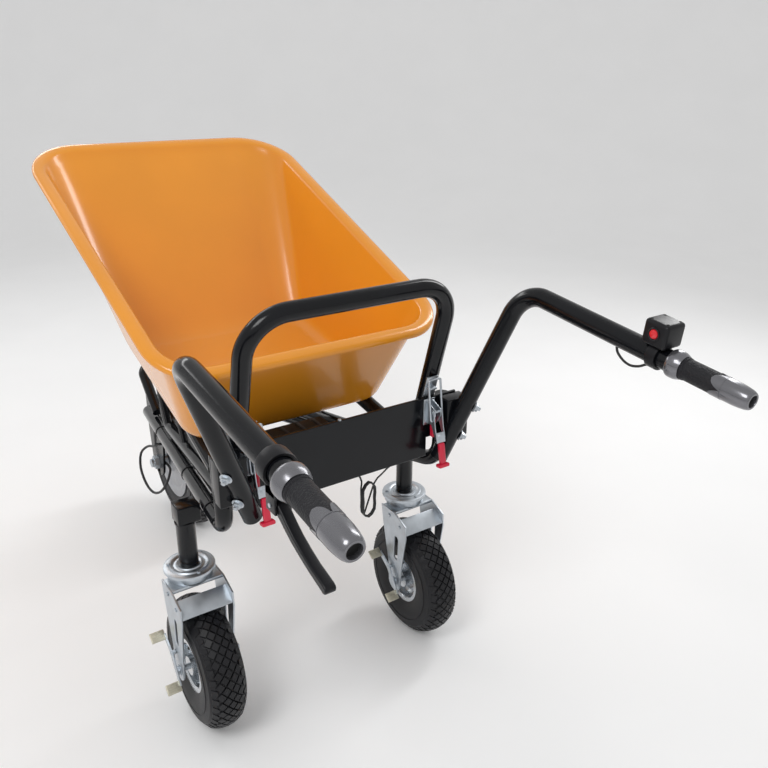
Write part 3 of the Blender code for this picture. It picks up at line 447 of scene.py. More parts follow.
def lead_turns():
    """Two and a half long turns of the spare lead, each a little nearer the rear beam."""
    spec = LEAD_LOOP
    points = []
    for half_turn in range(5):
        going_down = half_turn % 2 == 0
        sign = -1 if going_down else 1
        depth = spec["y"] - spec["pitch"] * half_turn / 2
        ends = (spec["top"], spec["bottom"]) if going_down else (spec["bottom"], spec["top"])
        for t in (0.0, 0.5, 1.0):
            z = ends[0] + (ends[1] - ends[0]) * t
            points.append((spec["x"] + sign * spec["half_width"], depth - spec["pitch"] * t / 4, z))
        if half_turn < 4:
            z, fall = ends[1], -spec["half_width"] if going_down else spec["half_width"]
            points.append((spec["x"], depth - spec["pitch"] * 0.38, z + fall))
    return points


def free_cord(name, knots, per_span, radius):
    """A cord that the machine holds at both ends, drawn as a tube along its route."""
    points = [Vector(p) + Vector((0, SHIFT_Y, 0)) for p in smooth_path(knots, per_span)]
    data = pipe_curve(points, radius, 3)
    data.materials.append(FINISHES["cable_black"])
    obj = bpy.data.objects.new(f"{name}_jacket", data)
    bpy.context.scene.collection.objects.link(obj)
    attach(obj, "chassis")
    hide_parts(name)


free_cord("motor_cable", MOTOR_CABLE, 3, 0.0035)
free_cord("throttle_lead", THROTTLE_LEAD, 3, 0.0022)
free_cord("spare_lead", LEAD_START + lead_turns() + LEAD_END, 2, 0.0018)


# ---------------------------------------------------------------- tub
RIM_REAR, RIM_FRONT = (-0.096, 0.307, 0.758), (0.716, 0.317, 1.065)
FLOOR_REAR, FLOOR_FRONT = (0.027, 0.217, 0.572), (0.410, 0.212, 0.657)
RIM_OUTER_R = (0.105, 0.122)
SHEET = 0.003


def rounded_quad(rear, front, rear_r, front_r, inset=0.0, drop=0.0, steps=14):
    """A rounded four-sided ring on the plane through its rear and front edges."""
    (y0, half0, z0), (y1, half1, z1) = rear, front
    slope = (z1 - z0) / (y1 - y0)
    run = math.hypot(1, slope)
    y0, y1 = y0 + inset / run, y1 - inset / run
    half0, half1 = half0 - inset, half1 - inset
    z0 = z0 + slope * inset / run
    ring = []
    for (cx, cy), radius, spin in (
        ((half0, y0), rear_r, -90), ((half1, y1), front_r, 0), ((-half1, y1), front_r, 90),
        ((-half0, y0), rear_r, 180),
    ):
        centre = (cx - math.copysign(radius, cx), cy + (radius if cy == y0 else -radius))
        ring += arc(centre, radius, spin, spin + 90, steps)
    return [Vector((x, y, z0 + slope * (y - y0) - drop)) for x, y in ring]


def rim_ring(inset, drop):
    rear_r, front_r = (r - 0.9 * inset for r in RIM_OUTER_R)
    return rounded_quad(RIM_REAR, RIM_FRONT, rear_r, front_r, inset, drop)


def blend(first, second, t):
    return [a.lerp(b, t) for a, b in zip(first, second)]


def build_tub():
    rolled = [
        (0.0045, 0.0125), (0.0015, 0.0125), (0.0, 0.0095), (0.0, 0.0050), (0.0015, 0.0018), (0.0050, 0.0),
        (0.0130, -0.0004), (0.0200, 0.0), (0.0255, 0.0018), (0.0290, 0.0055), (0.0310, 0.0110),
    ]
    rings = [rim_ring(inset, drop) for inset, drop in rolled]
    corner = rounded_quad(FLOOR_REAR, FLOOR_FRONT, 0.055, 0.055)
    floor = rounded_quad(FLOOR_REAR, FLOOR_FRONT, 0.040, 0.040, inset=0.026)
    top = rings[-1]
    foot = blend(top, corner, 0.90)
    rings += [blend(top, corner, t) for t in (0.04, 0.15, 0.35, 0.60, 0.80)]
    for k in range(7):
        t = k / 6
        mixed = zip(foot, corner, floor)
        rings.append([a * (1 - t) ** 2 + b * 2 * t * (1 - t) + c * t**2 for a, b, c in mixed])
    inner = [p.lerp(sum(floor, Vector()) / len(floor), 0.5) for p in floor]
    rings.append(inner)

    bm = bmesh.new()
    rows = [[bm.verts.new(p) for p in ring] for ring in rings]
    for upper, lower in zip(rows, rows[1:]):
        for k in range(len(upper)):
            j = (k + 1) % len(upper)
            bm.faces.new((upper[k], upper[j], lower[j], lower[k]))
    bm.faces.new(rows[-1])
    bmesh.ops.recalc_face_normals(bm, faces=bm.faces)
    bm.faces.ensure_lookup_table()
    if bm.faces[-1].normal.z < 0:
        bmesh.ops.reverse_faces(bm, faces=bm.faces)
    data = bpy.data.meshes.new("tub_shell")
    bm.to_mesh(data)
    bm.free()
    obj = piece("tub_shell", "tray", [(data, "tub_orange")], ["tub"], smooth=60)
    sheet = obj.modifiers.new("sheet", "SOLIDIFY")
    sheet.thickness = SHEET
    sheet.offset = -1


# ---------------------------------------------------------------- frame
FRAME_FRONT, FRAME_BEND = Vector((0.130, 0.452, 0.652)), Vector((0.131, 0.425, 0.442))
FRAME_REAR, HOOP_TOP = Vector((0.200, -0.105, 0.507)), Vector((0.205, -0.213, 0.887))
RAIL_FRONT, RAIL_BEND = Vector((0.098, 0.690, 0.366)), Vector((0.236, -0.150, 0.487))
RAIL_TOP = Vector((0.240, -0.150, 0.640))
NOSE_START, NOSE_CORNER = Vector((0.110, 0.575, 0.409)), Vector((0.102, 0.705, 0.4909))
BEAM_REAR = -0.1725


def rail_at(y):
    t = (y - RAIL_FRONT.y) / (RAIL_BEND.y - RAIL_FRONT.y)
    return RAIL_FRONT.lerp(RAIL_BEND, t)


def cable_tie(spot, direction, radius):
    """A nylon band round a tube, with its square head and trimmed tail."""
    band = [(radius, -0.0016), (radius + 0.0012, -0.0016), (radius + 0.0012, 0.0016), (radius, 0.0016)]
    matrix = along(spot, direction)
    head = block((radius, -0.003, -0.0026), (radius + 0.0055, 0.003, 0.0026), 0.0006, matrix)
    tail = block((radius + 0.005, -0.0015, -0.0005), (radius + 0.018, 0.0015, 0.0005), 0.0003, matrix)
    return [(lathe(band, matrix, 40), "black_plastic"), (head, "black_plastic"), (tail, "black_plastic")]


def build_frame():
    half = [FRAME_FRONT, FRAME_BEND, FRAME_REAR, HOOP_TOP]
    corners = half + [sided(p, -1) for p in reversed(half)]
    loop = bent_loop(corners, [0.040, 0.050, 0.075, 0.075, 0.050, 0.040])
    piece("frame_tube", "tray", [(pipe(loop, 0.017, 7), "frame_black")], ["tipping_frame"], smooth=50)

    for side, s in SIDES.items():
        corners = [sided(p, s) for p in (RAIL_FRONT, RAIL_BEND, RAIL_TOP)]
        parts = [(pipe(bent_path(corners, 0.050), 0.016, 7), "frame_black")]
        for y in (0.48, 0.16, -0.05):
            parts += cable_tie(sided(rail_at(y), s), corners[1] - corners[0], 0.0162)
        piece(f"rail_{side}", "chassis", parts, [f"main_rail_{side}"], smooth=50)

    corners = [NOSE_START, NOSE_CORNER, sided(NOSE_CORNER, -1), sided(NOSE_START, -1)]
    nose = pipe(bent_loop(corners, [0.034, 0.034]), 0.013, 6)
    piece("nose_tube", "chassis", [(nose, "frame_black")], ["nose_bar"], smooth=50)


def build_beam():
    step, half, low, mid, top = 0.185, 0.255, 0.523, 0.564, 0.650
    outline = [
        (-half, top), (-half, mid), (-step, mid), (-step, low),
        (step, low), (step, mid), (half, mid), (half, top),
    ]
    upright = Matrix.Translation((0, -0.1695, 0)) @ Matrix.Rotation(RIGHT_ANGLE, 4, "X")
    parts = [(pressed([outline], 0.006, upright, 0.0012), "frame_black")]
    parts += bolt((-0.012, -0.1695, top), (0, 0, 1), 0.0035, 0.003, False)
    piece("beam_plate", "chassis", parts, ["rear_beam"])

    cross, bottom, crest = 0.038 / 2, 0.437, 0.475
    inner = rail_at(cross).x - 0.0163
    body = block((-inner, -cross, bottom), (inner, cross, crest), 0.0035)
    piece("cross_tube_soft", "chassis", [(body, "frame_black")], ["cross_tube"])
    for side, s in SIDES.items():
        near, far = sorted((s * (rail_at(-cross).x + 0.0166), s * 0.276))
        stub = block((near, -cross, bottom), (far, cross, crest), 0.003)
        section = [(0, 0.3403), (0.0185, 0.3403), (0.0185, 0.4300)]
        section += [(0.0205, 0.4340), (0.0205, 0.4375), (0, 0.4375)]
        post = lathe(section, Matrix.Translation((s * CASTER_X, 0, 0)), 40, closed=False)
        parts = [(stub, "frame_black"), (post, "frame_black")]
        piece(f"mount_{side}", "chassis", parts, [f"caster_mount_{side}"])


# ---------------------------------------------------------------- tyres
def treaded(matrix, profile, depth, rows, shoulder, count, rib_r):
    """A tyre of revolution with diamond blocks in rows and long blocks on its shoulders."""
    heights = [h for _, h in profile[:6]]
    radii = [r for r, _ in profile[:6]]

    def crown(h):
        return float(np.interp(abs(h), heights, radii))

    carcass = [(r - (depth if h < shoulder[1] else 0), h) for r, h in profile]
    parts = [lathe(mirrored_profile(carcass), matrix, 112)]
    for sign in (-1, 1):
        lift = sign * (float(np.interp(-rib_r, [-r for r in radii[2:]], heights[2:])) + 0.0004)
        foot = lift - sign * 0.002
        ring = [(rib_r - 0.0012, foot), (rib_r, lift + sign * 0.0008), (rib_r + 0.0012, foot)]
        parts.append(lathe(ring, matrix, 112))

    bm = bmesh.new()

    def add_block(angle, h, corners):
        """A raised block, its outline given as (arc length, height) steps from its middle."""
        bases, tops = [], []
        for arc_step, rise in corners:
            for bag, scale, lower in ((bases, 1.0, depth + 0.001), (tops, 0.86, 0.0)):
                r = crown(h + rise * scale) - lower
                a = angle + arc_step * scale / crown(h)
                bag.append(bm.verts.new((r * math.cos(a), r * math.sin(a), h + rise * scale)))
        bm.faces.new(tops)
        for k in range(len(tops)):
            j = (k + 1) % len(tops)
            bm.faces.new((bases[k], bases[j], tops[j], tops[k]))

    pitch = 2 * math.pi / count
    reach = pitch * crown(0) * 0.46
    gap = rows[1] - rows[0]
    for index, h in enumerate(rows):
        for sign in (1, -1) if h > 0 else (1,):
            for k in range(count):
                angle = pitch * (k + 0.5 * (index % 2))
                diamond = [(reach, 0), (0, gap * 0.90), (-reach, 0), (0, -gap * 0.90)]
                add_block(angle, sign * h, diamond)
    middle, half_h = (shoulder[0] + shoulder[1]) / 2, (shoulder[1] - shoulder[0]) / 2
    for sign in (1, -1):
        for k in range(count):
            angle = pitch * (k + 0.5 * (len(rows) % 2))
            corners = [(reach * 0.75, half_h * sign), (-reach * 0.75, half_h * sign),
                       (-reach * 0.45, -half_h * sign), (reach * 0.45, -half_h * sign)]
            add_block(angle, sign * middle, corners)
    parts.append(finished(bm, matrix))
    return [(mesh, "tyre_rubber") for mesh in parts]


def build_caster(side, s):
    x, axle_y, axle_z = s * CASTER_X, -0.042, 0.135
    out, sheet = 0.054, 0.004
    matrix = along((x, axle_y, axle_z), (1, 0, 0))

    tyre = [
        (0.1350, 0.0), (0.1335, 0.0140), (0.1265, 0.0290), (0.1120, 0.0380), (0.0930, 0.0400),
        (0.0740, 0.0380), (0.0590, 0.0320), (0.0584, 0.0272), (0.0509, 0.0272),
    ]
    parts = treaded(matrix, tyre, 0.0040, (0.0, 0.0098, 0.0196), (0.0250, 0.0350), 38, 0.096)
    piece(f"caster_tread_{side}", f"caster_wheel_{side}", parts, [f"caster_tyre_{side}"], smooth=30)

    rim = [
        (0.0505, 0.0), (0.0505, 0.0270), (0.0560, 0.0276), (0.0580, 0.0290), (0.0585, 0.0312),
        (0.0570, 0.0322), (0.0480, 0.0320), (0.0455, 0.0290), (0.0445, 0.0120), (0.0400, 0.0070),
        (0.0300, 0.0060), (0.0210, 0.0100), (0.0195, 0.0340), (0.0066, 0.0340),
    ]
    parts = [(lathe(mirrored_profile(rim), matrix, 88), "rim_steel")]
    bolt_circle = 0.0315
    for k in range(4):
        turn = math.radians(45 + 90 * k)
        y, z = axle_y + bolt_circle * math.cos(turn), axle_z + bolt_circle * math.sin(turn)
        for end in (-1, 1):
            parts += bolt(Vector((x + end * 0.0062, y, z)), (end, 0, 0), 0.0042, 0.0035)
    valve = rod((x - 0.006, axle_y, axle_z + 0.047), (x - 0.033, axle_y, axle_z + 0.042), 0.0030)
    parts.append((valve, "tyre_rubber"))
    piece(f"caster_wheel_rim_{side}", f"caster_wheel_{side}", parts, [f"caster_rim_{side}"])

    disc = [
        (0.0, 0.0095), (0.0190, 0.0095), (0.0215, 0.0108), (0.0245, 0.0108), (0.0262, 0.0085),
        (0.0300, 0.0078), (0.0330, 0.0098), (0.0368, 0.0100), (0.0395, 0.0078), (0.0445, 0.0080),
        (0.0492, 0.0066), (0.0500, 0.0045), (0.0500, 0.0012), (0.0485, 0.0), (0.0, 0.0),
    ]
    parts = [(lathe(disc, Matrix.Translation((x, 0, TOP_PLATE_Z)), 96, closed=False), "zinc_plate")]
    bolt_circle = 0.0405
    for turn in (math.radians(35), math.radians(155), math.radians(275)):
        spot = (x + bolt_circle * math.cos(turn), bolt_circle * math.sin(turn), 0.3398)
        parts += bolt(spot, (0, 0, 1), 0.0032, 0.0030, False)
    piece(f"swivel_plate_{side}", "chassis", parts, [f"caster_top_plate_{side}"])

    crown = [(0.0, 0.3314), (0.0400, 0.3314), (0.0438, 0.3290)]
    crown += [(0.0440, 0.3200), (0.0405, 0.3140), (0.0, 0.3125)]
    parts = [(lathe(crown, Matrix.Translation((x, 0, 0)), 72, closed=False), "zinc_plate")]
    span = out - 0.0005
    parts.append((block((x - span, -0.038, 0.3090), (x + span, 0.010, 0.3160), 0.0015), "zinc_plate"))
    arm = [(0.012, 0.3165), (-0.040, 0.3165), (-0.082, 0.300), (-0.084, 0.270), (-0.068, 0.180)]
    arm += arc((axle_y, axle_z), 0.022, 190, 350, 12) + [(-0.018, 0.180), (0.004, 0.270)]
    window = arc((-0.048, 0.252), 0.007, 0, 180, 8) + arc((-0.046, 0.205), 0.007, 180, 360, 8)
    for end in (-1, 1):
        arm_x = x + end * (0.050 + sheet / 2)
        parts.append((pressed([arm, window], sheet, across(arm_x), 0.0010), "zinc_plate"))
        for y, z in ((-0.020, 0.302), (-0.060, 0.290)):
            head = rod((arm_x + end * 0.0018, y, z), (arm_x + end * 0.0045, y, z), 0.0042, 24, 0.0012)
            parts.append((head, "zinc_plate"))
    strap_turn = Matrix.Translation((x, -0.066, 0.2885)) @ Matrix.Rotation(math.radians(38), 4, "X")
    parts.append((block((-span, -0.020, -0.002), (span, 0.020, 0.002), 0.0012, strap_turn), "zinc_plate"))
    parts.append((rod((x - 0.060, axle_y, axle_z), (x + 0.072, axle_y, axle_z), 0.006), "zinc_plate"))
    parts += bolt((x + out, axle_y, axle_z), (1, 0, 0), 0.0100, 0.0065)
    parts += bolt((x - out, axle_y, axle_z), (-1, 0, 0), 0.0090, 0.0040)
    piece(f"fork_{side}", f"caster_swivel_{side}", parts, [f"caster_fork_{side}"])
    build_rocker(side, x, out)


def build_rocker(side, x, out):
    """The foot brake: a bent strip on a pin, with a ribbed pad at each end."""
    pivot, upper, lower = Vector((-0.030, 0.172)), Vector((0.004, 0.194)), Vector((-0.066, 0.118))
    near = x - out - 0.0065
    outline = []
    for start, end in ((upper, lower), (lower, upper)):
        first = Vector((pivot.y - start.y, start.x - pivot.x)).normalized() * 0.006
        second = Vector((end.y - pivot.y, pivot.x - end.x)).normalized() * 0.006
        outline += [start + first, pivot + (first + second) / 2, end + second]
    parts = [(pressed([[tuple(p) for p in outline]], 0.003, across(near - 0.0015)), "zinc_plate")]
    parts.append((rod((near - 0.004, *pivot), (x - out - 0.0003, *pivot), 0.0045), "zinc_plate"))
    for spot, tilt in ((upper, 35), (lower, 40)):
        turn = Matrix.Rotation(math.radians(tilt), 4, "X")
        seat = Matrix.Translation((near - 0.016, *spot)) @ turn
        parts.append((block((-0.0135, -0.0105, -0.002), (0.0150, 0.0105, 0.002), 0.0010, seat), "pad_cream"))
        for k in range(5):
            y = -0.0080 + 0.0040 * k
            rib = block((-0.0120, y - 0.0008, 0.0015), (0.0115, y + 0.0008, 0.0032), 0.0004, seat)
            parts.append((rib, "pad_cream"))
    piece(f"foot_brake_{side}", f"caster_brake_{side}", parts, [f"brake_rocker_{side}"])


def build_drive_wheel():
    matrix = along((0, 0.710, 0.200), (1, 0, 0))
    tyre = [
        (0.2000, 0.0), (0.1975, 0.0190), (0.1890, 0.0340), (0.1720, 0.0445), (0.1500, 0.0475),
        (0.1280, 0.0455), (0.1135, 0.0430), (0.1128, 0.0397), (0.1004, 0.0396),
    ]
    parts = treaded(matrix, tyre, 0.0040, (0.0, 0.0110, 0.0220), (0.0270, 0.0400), 50, 0.150)
    piece("drive_tread", "drive_wheel", parts, ["drive_tyre"], smooth=30)


# ---------------------------------------------------------------- handles and grips
HANDLE_FOOT, HANDLE_BEND = Vector((0.202, -0.192, 0.525)), Vector((0.333, -0.266, 0.868))
GRIP_END = Vector((0.337, -0.746, 0.813))
HANDLE_R, COLLAR_Y = 0.018, -0.600
COLLAR_LEN, SLEEVE_LEN, END_LEN, BORE = 0.026, 0.071, 0.048, 0.0115


def grip_point(distance):
    axis = (GRIP_END - HANDLE_BEND).normalized()
    start = HANDLE_BEND.lerp(GRIP_END, (COLLAR_Y - HANDLE_BEND.y) / (GRIP_END.y - HANDLE_BEND.y))
    return start + axis * distance


def leg_at(z):
    return HANDLE_FOOT.lerp(HANDLE_BEND, (z - HANDLE_FOOT.z) / (HANDLE_BEND.z - HANDLE_FOOT.z))


def build_handles():
    total = COLLAR_LEN + SLEEVE_LEN + END_LEN
    leg = (HANDLE_BEND - HANDLE_FOOT).normalized()
    outward = Vector((0.712, -0.583, -0.393))
    outward = (outward - leg * outward.dot(leg)).normalized()
    for side, s in SIDES.items():
        corners = [sided(p, s) for p in (HANDLE_FOOT, HANDLE_BEND, grip_point(0))]
        parts = [(pipe(bent_path(corners, 0.060), HANDLE_R, 8), "frame_black")]
        # the tube inside the grip takes the near-black painted shade of the bore, not the frame paint
        core = rod(sided(grip_point(-0.01), s), sided(grip_point(total - 0.010), s), 0.011)
        parts.append((core, "painted_hole_shade"))
        piece(f"handle_tube_{side}", "chassis", parts, [f"handle_{side}"], smooth=50)

        near, far = sorted((s * 0.2112, s * 0.263))
        saddle = block((near, -0.205, 0.564), (far, -0.1728, 0.648), 0.0025)
        parts = [(saddle, "frame_black")]
        for z in (0.640, 0.580):
            seat = sided(leg_at(z) + outward * (HANDLE_R + 0.0008), s)
            away = sided(outward, s)
            parts += bolt(seat, away, 0.0080, 0.0065)
            parts.append((rod(seat, seat + away * 0.0125, 0.0040, 20), "zinc_plate"))
        piece(f"saddle_{side}", "chassis", parts, [f"handle_bracket_{side}"])
        build_grip(side, s)


def build_grip(side, s):
    axis = sided(grip_point(1), s) - sided(grip_point(0), s)
    body = "throttle_grip" if s > 0 else "chassis"
    sleeve_node, end_node = ("throttle_sleeve", "throttle_end") if s > 0 else ("grip_sleeve", "grip_end")

    collar = [
        (BORE, 0.0), (0.0185, 0.0), (0.0215, 0.0015), (0.0232, 0.0045), (0.0235, 0.0080), (0.0232, 0.0150),
        (0.0222, 0.0190), (0.0206, 0.0230), (0.0196, 0.0255), (BORE, 0.0257),
    ]
    start = along(sided(grip_point(GAP), s), axis)
    piece(f"collar_{side}", "chassis", [(lathe(collar, start, 72), "grip_silver")], [f"grip_collar_{side}"])

    last = SLEEVE_LEN - GAP
    sleeve = [
        (BORE, 0.0), (0.0182, 0.0), (0.0186, 0.0010), (0.0186, 0.0040), (0.0176, 0.0050),
        (0.0178, last - 0.005), (0.0186, last - 0.0040), (0.0186, last - 0.0010), (0.0182, last),
        (BORE, last),
    ]
    start = along(sided(grip_point(COLLAR_LEN + GAP), s), axis)
    piece(f"rubber_{side}", body, [(lathe(sleeve, start, 72), "grip_rubber")], [sleeve_node])

    end = [
        (BORE, 0.0), (0.0178, 0.0), (0.0183, 0.0020), (0.0181, 0.0220), (0.0172, 0.0330),
        (0.0158, 0.0420), (0.0140, 0.0468), (0.0128, 0.0480), (0.0100, 0.0480), (0.0095, 0.0460),
        (0.0095, 0.0390), (BORE, 0.0385),
    ]
    start = along(sided(grip_point(COLLAR_LEN + SLEEVE_LEN + GAP), s), axis)
    # a thin near-black disc inside the cap's end hole: painted shade at the bottom of the hole
    plug = [(0, 0.0400), (0.0097, 0.0400), (0.0097, 0.0410), (0, 0.0410)]
    parts = [(lathe(end, start, 72), "grip_silver"), (lathe(plug, start, 40, closed=False), "painted_hole_shade")]
    parts += [(tongue(start, RIGHT_ANGLE * (k + 0.5)), "grip_silver") for k in range(4)]
    piece(f"grip_cap_{side}", body, parts, [end_node])


def tongue(start, middle, length=0.020, radius=0.0187, rows=10, columns=8):
    """A pointed curved plate that reaches from the silver cap up over the rubber."""
    bm = bmesh.new()
    layers = []
    for lift in (0.0, -0.0012):
        grid = []
        for row in range(rows + 1):
            t = row / rows
            half = math.radians(42) * math.sqrt(max(0.0, 1 - t**1.6)) + 0.01
            height = 0.003 - length * t
            angles = [middle + half * (2 * k / columns - 1) for k in range(columns + 1)]
            r = radius + lift
            grid.append([bm.verts.new((r * math.cos(a), r * math.sin(a), height)) for a in angles])
        layers.append(grid)
    outer, inner = layers
    for grid in layers:
        for first, second in zip(grid, grid[1:]):
            for k in range(columns):
                bm.faces.new((first[k], first[k + 1], second[k + 1], second[k]))
    border = [(0, k) for k in range(columns)] + [(row, columns) for row in range(rows)]
    border += [(rows, k) for k in range(columns, 0, -1)] + [(row, 0) for row in range(rows, 0, -1)]
    for (r0, c0), (r1, c1) in zip(border, border[1:] + border[:1]):
        bm.faces.new((outer[r0][c0], outer[r1][c1], inner[r1][c1], inner[r0][c0]))
    return finished(bm, start)


def build_controls():
    axis = (GRIP_END - HANDLE_BEND).normalized()
    centre = grip_point(-0.026)
    pitch = math.atan2(-axis.z, -axis.y)
    matrix = Matrix.Translation(centre) @ Matrix.Rotation(pitch, 4, "X")
    base, height = HANDLE_R + 0.0008, 0.042
    case = block((-0.023, -0.023, base), (0.023, 0.023, base + height), 0.0065, matrix, 5)
    band = [(base, -0.009), (0.0225, -0.009), (0.0228, -0.007)]
    band += [(0.0228, 0.007), (0.0225, 0.009), (base, 0.009)]
    button_z = base + 0.022
    seat = matrix @ along((-0.023, 0, button_z), (-1, 0, 0))
    bezel = [(0.0083, -0.002), (0.0083, 0.0016), (0.0094, 0.0022)]
    bezel += [(0.0108, 0.0014), (0.0112, -0.0005), (0.0112, -0.002)]
    parts = [(case, "black_plastic"), (lathe(band, along(centre, axis), 48), "black_plastic")]
    parts.append((lathe(bezel, seat, 48), "black_plastic"))
    # four thin near-black discs on the case top: painted shade of its screw holes
    for end in (-1, 1):
        for y in (-0.015, 0.015):
            spot = matrix @ Vector((end * 0.015, y, base + height))
            parts.append((rod(spot, spot + Vector((0, 0, 0.0004)), 0.0022, 20, 0.0001), "painted_hole_shade"))
    piece("control_case", "chassis", parts, ["control_box"])

    dome = [(0, 0.0042), (0.0040, 0.0039), (0.0068, 0.0028)]
    dome += [(0.0079, 0.0010), (0.0080, -0.0030), (0, -0.0030)]
    piece("button_cap", "red_button", [(lathe(dome, seat, 48, closed=False), "button_red")], ["red_button"])

    x = -centre.x
    left = sided(centre, -1)
    left_axis = Vector((-axis.x, axis.y, axis.z))
    ring = [(base, -0.011), (0.0220, -0.011), (0.0226, -0.009)]
    ring += [(0.0226, 0.009), (0.0220, 0.011), (base, 0.011)]
    pivot_y, pivot_z = -0.575, 0.785
    top, low = left.z - 0.0195, pivot_z + 0.0115
    parts = [(lathe(ring, along(left, left_axis), 48), "black_plastic")]
    neck = block((x - 0.011, pivot_y - 0.014, low), (x + 0.011, pivot_y + 0.012, top), 0.002)
    parts.append((neck, "black_plastic"))
    for end in (-1, 1):
        inner, outer = sorted((end * 0.0078, end * 0.0110))
        ear_low = (x + inner, pivot_y - 0.0125, pivot_z - 0.009)
        ear_high = (x + outer, pivot_y + 0.011, top - 0.002)
        parts.append((block(ear_low, ear_high, 0.001), "black_plastic"))
    parts.append((rod((x - 0.0125, pivot_y, pivot_z), (x + 0.0125, pivot_y, pivot_z), 0.003), "zinc_plate"))
    piece("perch", "chassis", parts, ["brake_perch"])

    pivot, tip_at = Vector((pivot_y, pivot_z)), Vector((-0.692, 0.733))
    blade = tip_at - pivot
    off = Vector((-blade.y, blade.x)).normalized()
    heading = math.degrees(math.atan2(blade.y, blade.x))
    near_side, far_side = [], []
    for t, width, bow in (
        (0.14, 0.0068, 0.0), (0.27, 0.0060, 0.003), (0.40, 0.0055, 0.005),
        (0.56, 0.0051, 0.005), (0.72, 0.0050, 0.004), (0.94, 0.0055, 0.0),
    ):
        middle = pivot + blade * t + off * bow
        near_side.append(tuple(middle - off * width))
        far_side.append(tuple(middle + off * width))
    tip = arc(pivot + blade * 0.965, 0.0055, heading - 70, heading + 70, 10)
    eye = arc(pivot, 0.0085, heading + 70, heading + 290, 20)
    hole = arc(pivot, 0.0034, 0, 340, 17)
    lever = pressed([near_side + tip + far_side[::-1] + eye, hole], 0.0145, across(x), 0.0020)
    piece("lever_blade", "brake_lever", [(lever, "black_plastic")], ["brake_lever"])


# ---------------------------------------------------------------- latches
LATCH_X = 0.189
LATCH_PIVOT, BAIL_PIVOT, BAIL_TOP = (-0.198, 0.628), (-0.199, 0.611), (-0.1885, 0.6925)
TRIGGER_PIVOT = (-0.187, 0.606)


def build_latch(side, s):
    x, rear = s * LATCH_X, BEAM_REAR - GAP
    parts = [(block((x - 0.0135, rear - 0.0025, 0.594), (x + 0.0135, rear, 0.648), 0.0008), "zinc_plate")]
    ear = [(rear - 0.001, 0.598), (rear - 0.001, 0.646), (-0.2030, 0.634), (-0.2040, 0.622), (-0.1900, 0.600)]
    for end in (-1, 1):
        parts.append((pressed([ear], 0.0020, across(x + end * 0.0070)), "zinc_plate"))
    parts.append((rod((x - 0.0112, *LATCH_PIVOT), (x + 0.0112, *LATCH_PIVOT), 0.0025, 24), "zinc_plate"))
    parts.append((rod((x - 0.0065, *TRIGGER_PIVOT), (x + 0.0065, *TRIGGER_PIVOT), 0.0018, 20), "zinc_plate"))
    for z in (0.600, 0.642):
        for end in (-1, 1):
            spot = Vector((x + end * 0.0105, rear - 0.0024, z))
            parts.append((rod(spot, spot - Vector((0, 0.0012, 0)), 0.0017, 18, 0.0004), "zinc_plate"))
    piece(f"latch_plate_{side}", "chassis", parts, [f"latch_base_{side}"])

    arm = arc(LATCH_PIVOT, 0.0060, 0, 180, 14)
    arm += [(-0.2085, 0.600), (-0.2150, 0.578), (-0.2105, 0.576), (-0.1930, 0.606)]
    holes = [arc(LATCH_PIVOT, 0.0029, 0, 340, 17), arc(BAIL_PIVOT, 0.0026, 0, 340, 17)]
    parts = [(pressed([arm, *holes], 0.0020, across(x + e * 0.0098), 0.0005), "zinc_plate") for e in (-1, 1)]
    hang = Matrix.Translation((x, -0.2135, 0.578)) @ Matrix.Rotation(math.radians(-10), 4, "X")
    parts.append((block((-0.0104, -0.0014, -0.009), (0.0104, 0.0016, 0.012), 0.0008, hang), "zinc_plate"))
    for height, radius in ((0.0008, 0.0062), (0.0016, 0.0040)):
        boss = hang @ along((0, -0.0012, 0.003), (0, -1, 0))
        disc = [(0, 0), (radius, 0), (radius * 0.9, height), (0, height)]
        parts.append((lathe(disc, boss, 32, closed=False), "zinc_plate"))
    vinyl = block((-0.0066, -0.0048, -0.0530), (0.0066, 0.0044, -0.0095), 0.0030, hang, 4)
    foot = block((-0.0125, -0.0078, -0.0590), (0.0125, 0.0072, -0.0515), 0.0028, hang, 4)
    body = f"latch_handle_{side}"
    piece(f"toggle_{side}", body, parts, [f"latch_lever_{side}"])
    piece(f"vinyl_grip_{side}", body, [(vinyl, "latch_red"), (foot, "latch_red")], [f"latch_grip_{side}"])

    low, top = Vector((x, *BAIL_PIVOT)), Vector((x, *BAIL_TOP))
    inside, outside = Vector((0.0084, 0, 0)), Vector((0.0140, 0, 0))
    corners = [low - inside, low - outside, top - outside, top + outside, low + outside, low + inside]
    wire = pipe(bent_loop(corners, [0.0034] * 4, math.radians(12)), 0.0022, 4)
    hook = f"latch_hook_{side}"
    piece(f"bail_wire_{side}", hook, [(wire, "zinc_plate")], [f"latch_bail_{side}"], smooth=50)

    outline = arc(TRIGGER_PIVOT, 0.0050, -20, 200, 14)
    outline += [(-0.1930, 0.584), (-0.1925, 0.572), (-0.1845, 0.572), (-0.1830, 0.590)]
    trigger = pressed([outline, arc(TRIGGER_PIVOT, 0.0022, 0, 340, 17)], 0.0080, across(x), 0.0010)
    piece(f"release_{side}", f"latch_release_{side}", [(trigger, "latch_red")], [f"latch_trigger_{side}"])


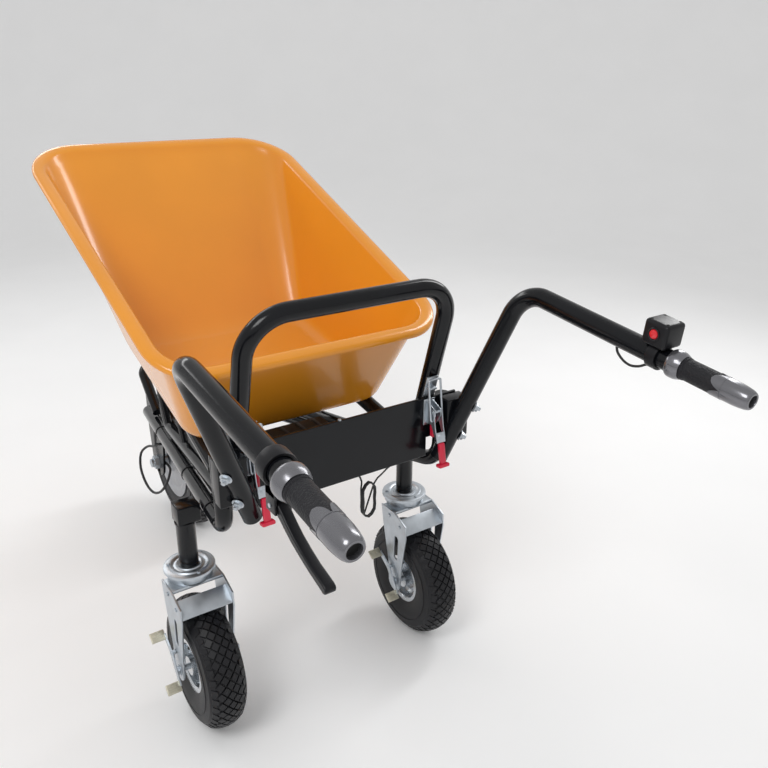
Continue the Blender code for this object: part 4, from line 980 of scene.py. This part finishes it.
def build_keeper(side, s):
    """A plate on the hoop's leg, with a shelf for the bail and the shelf's turned-up lip."""
    leg = (HOOP_TOP - FRAME_REAR).normalized()
    foot = FRAME_REAR + leg * ((0.6755 - FRAME_REAR.z) / leg.z)
    foot.x = LATCH_X
    matrix = Matrix.Translation(sided(foot, s)) @ Matrix.Rotation(math.atan2(-leg.y, leg.z), 4, "X")
    back = -0.017 - 0.0012
    near, far = sorted((-0.011 * s, 0.016 * s))
    backing = block((near, back - 0.003, -0.020), (far, back, 0.026), 0.0008, matrix)
    shelf = block((-0.0095, back - 0.0140, 0.002), (0.0095, back - 0.001, 0.0048), 0.0007, matrix)
    lip = block((-0.0095, back - 0.0140, 0.0022), (0.0095, back - 0.0118, 0.0072), 0.0006, matrix)
    parts = [(mesh, "zinc_plate") for mesh in (backing, shelf, lip)]
    for z in (-0.012, 0.018):
        spot = matrix @ Vector((0.002 * s, back - 0.003, z))
        away = matrix.to_3x3() @ Vector((0, -1, 0))
        parts += bolt(spot, away, 0.0030, 0.0016, False)
    piece(f"keeper_{side}", "tray", parts, [f"latch_keeper_{side}"])


# ---------------------------------------------------------------- battery
def build_battery():
    """Ribs on the cover and fins on the controller. Both stand on the CAD solids, which stay."""
    parts = []
    for k in range(6):
        x = -0.135 + 0.037 * k
        rib = block((x - 0.004, -0.090, 0.5515), (x + 0.004, 0.048, 0.5540), 0.0010)
        parts.append((rib, "black_plastic"))
    piece("cover_ribs", "chassis", parts)
    parts = []
    for k in range(9):
        x = -0.052 + 0.013 * k
        fin = block((x - 0.0012, 0.024, 0.4410), (x + 0.0012, 0.100, 0.4445), 0.0004)
        parts.append((fin, "cast_aluminium"))
    piece("controller_fins", "chassis", parts)


build_tub()
build_frame()
build_beam()
build_drive_wheel()
build_handles()
build_controls()
build_battery()
for side_name, side_sign in SIDES.items():
    build_caster(side_name, side_sign)
    build_latch(side_name, side_sign)
    build_keeper(side_name, side_sign)

# every CAD node that still shows takes its procedural finish
slot_of = {part["node"]: part["material_slot"] for part in frame["record"]["subparts"]}
for node, obj in frame["nodes"].items():
    obj.data.materials.clear()
    obj.data.materials.append(FINISHES[slot_of[node]])
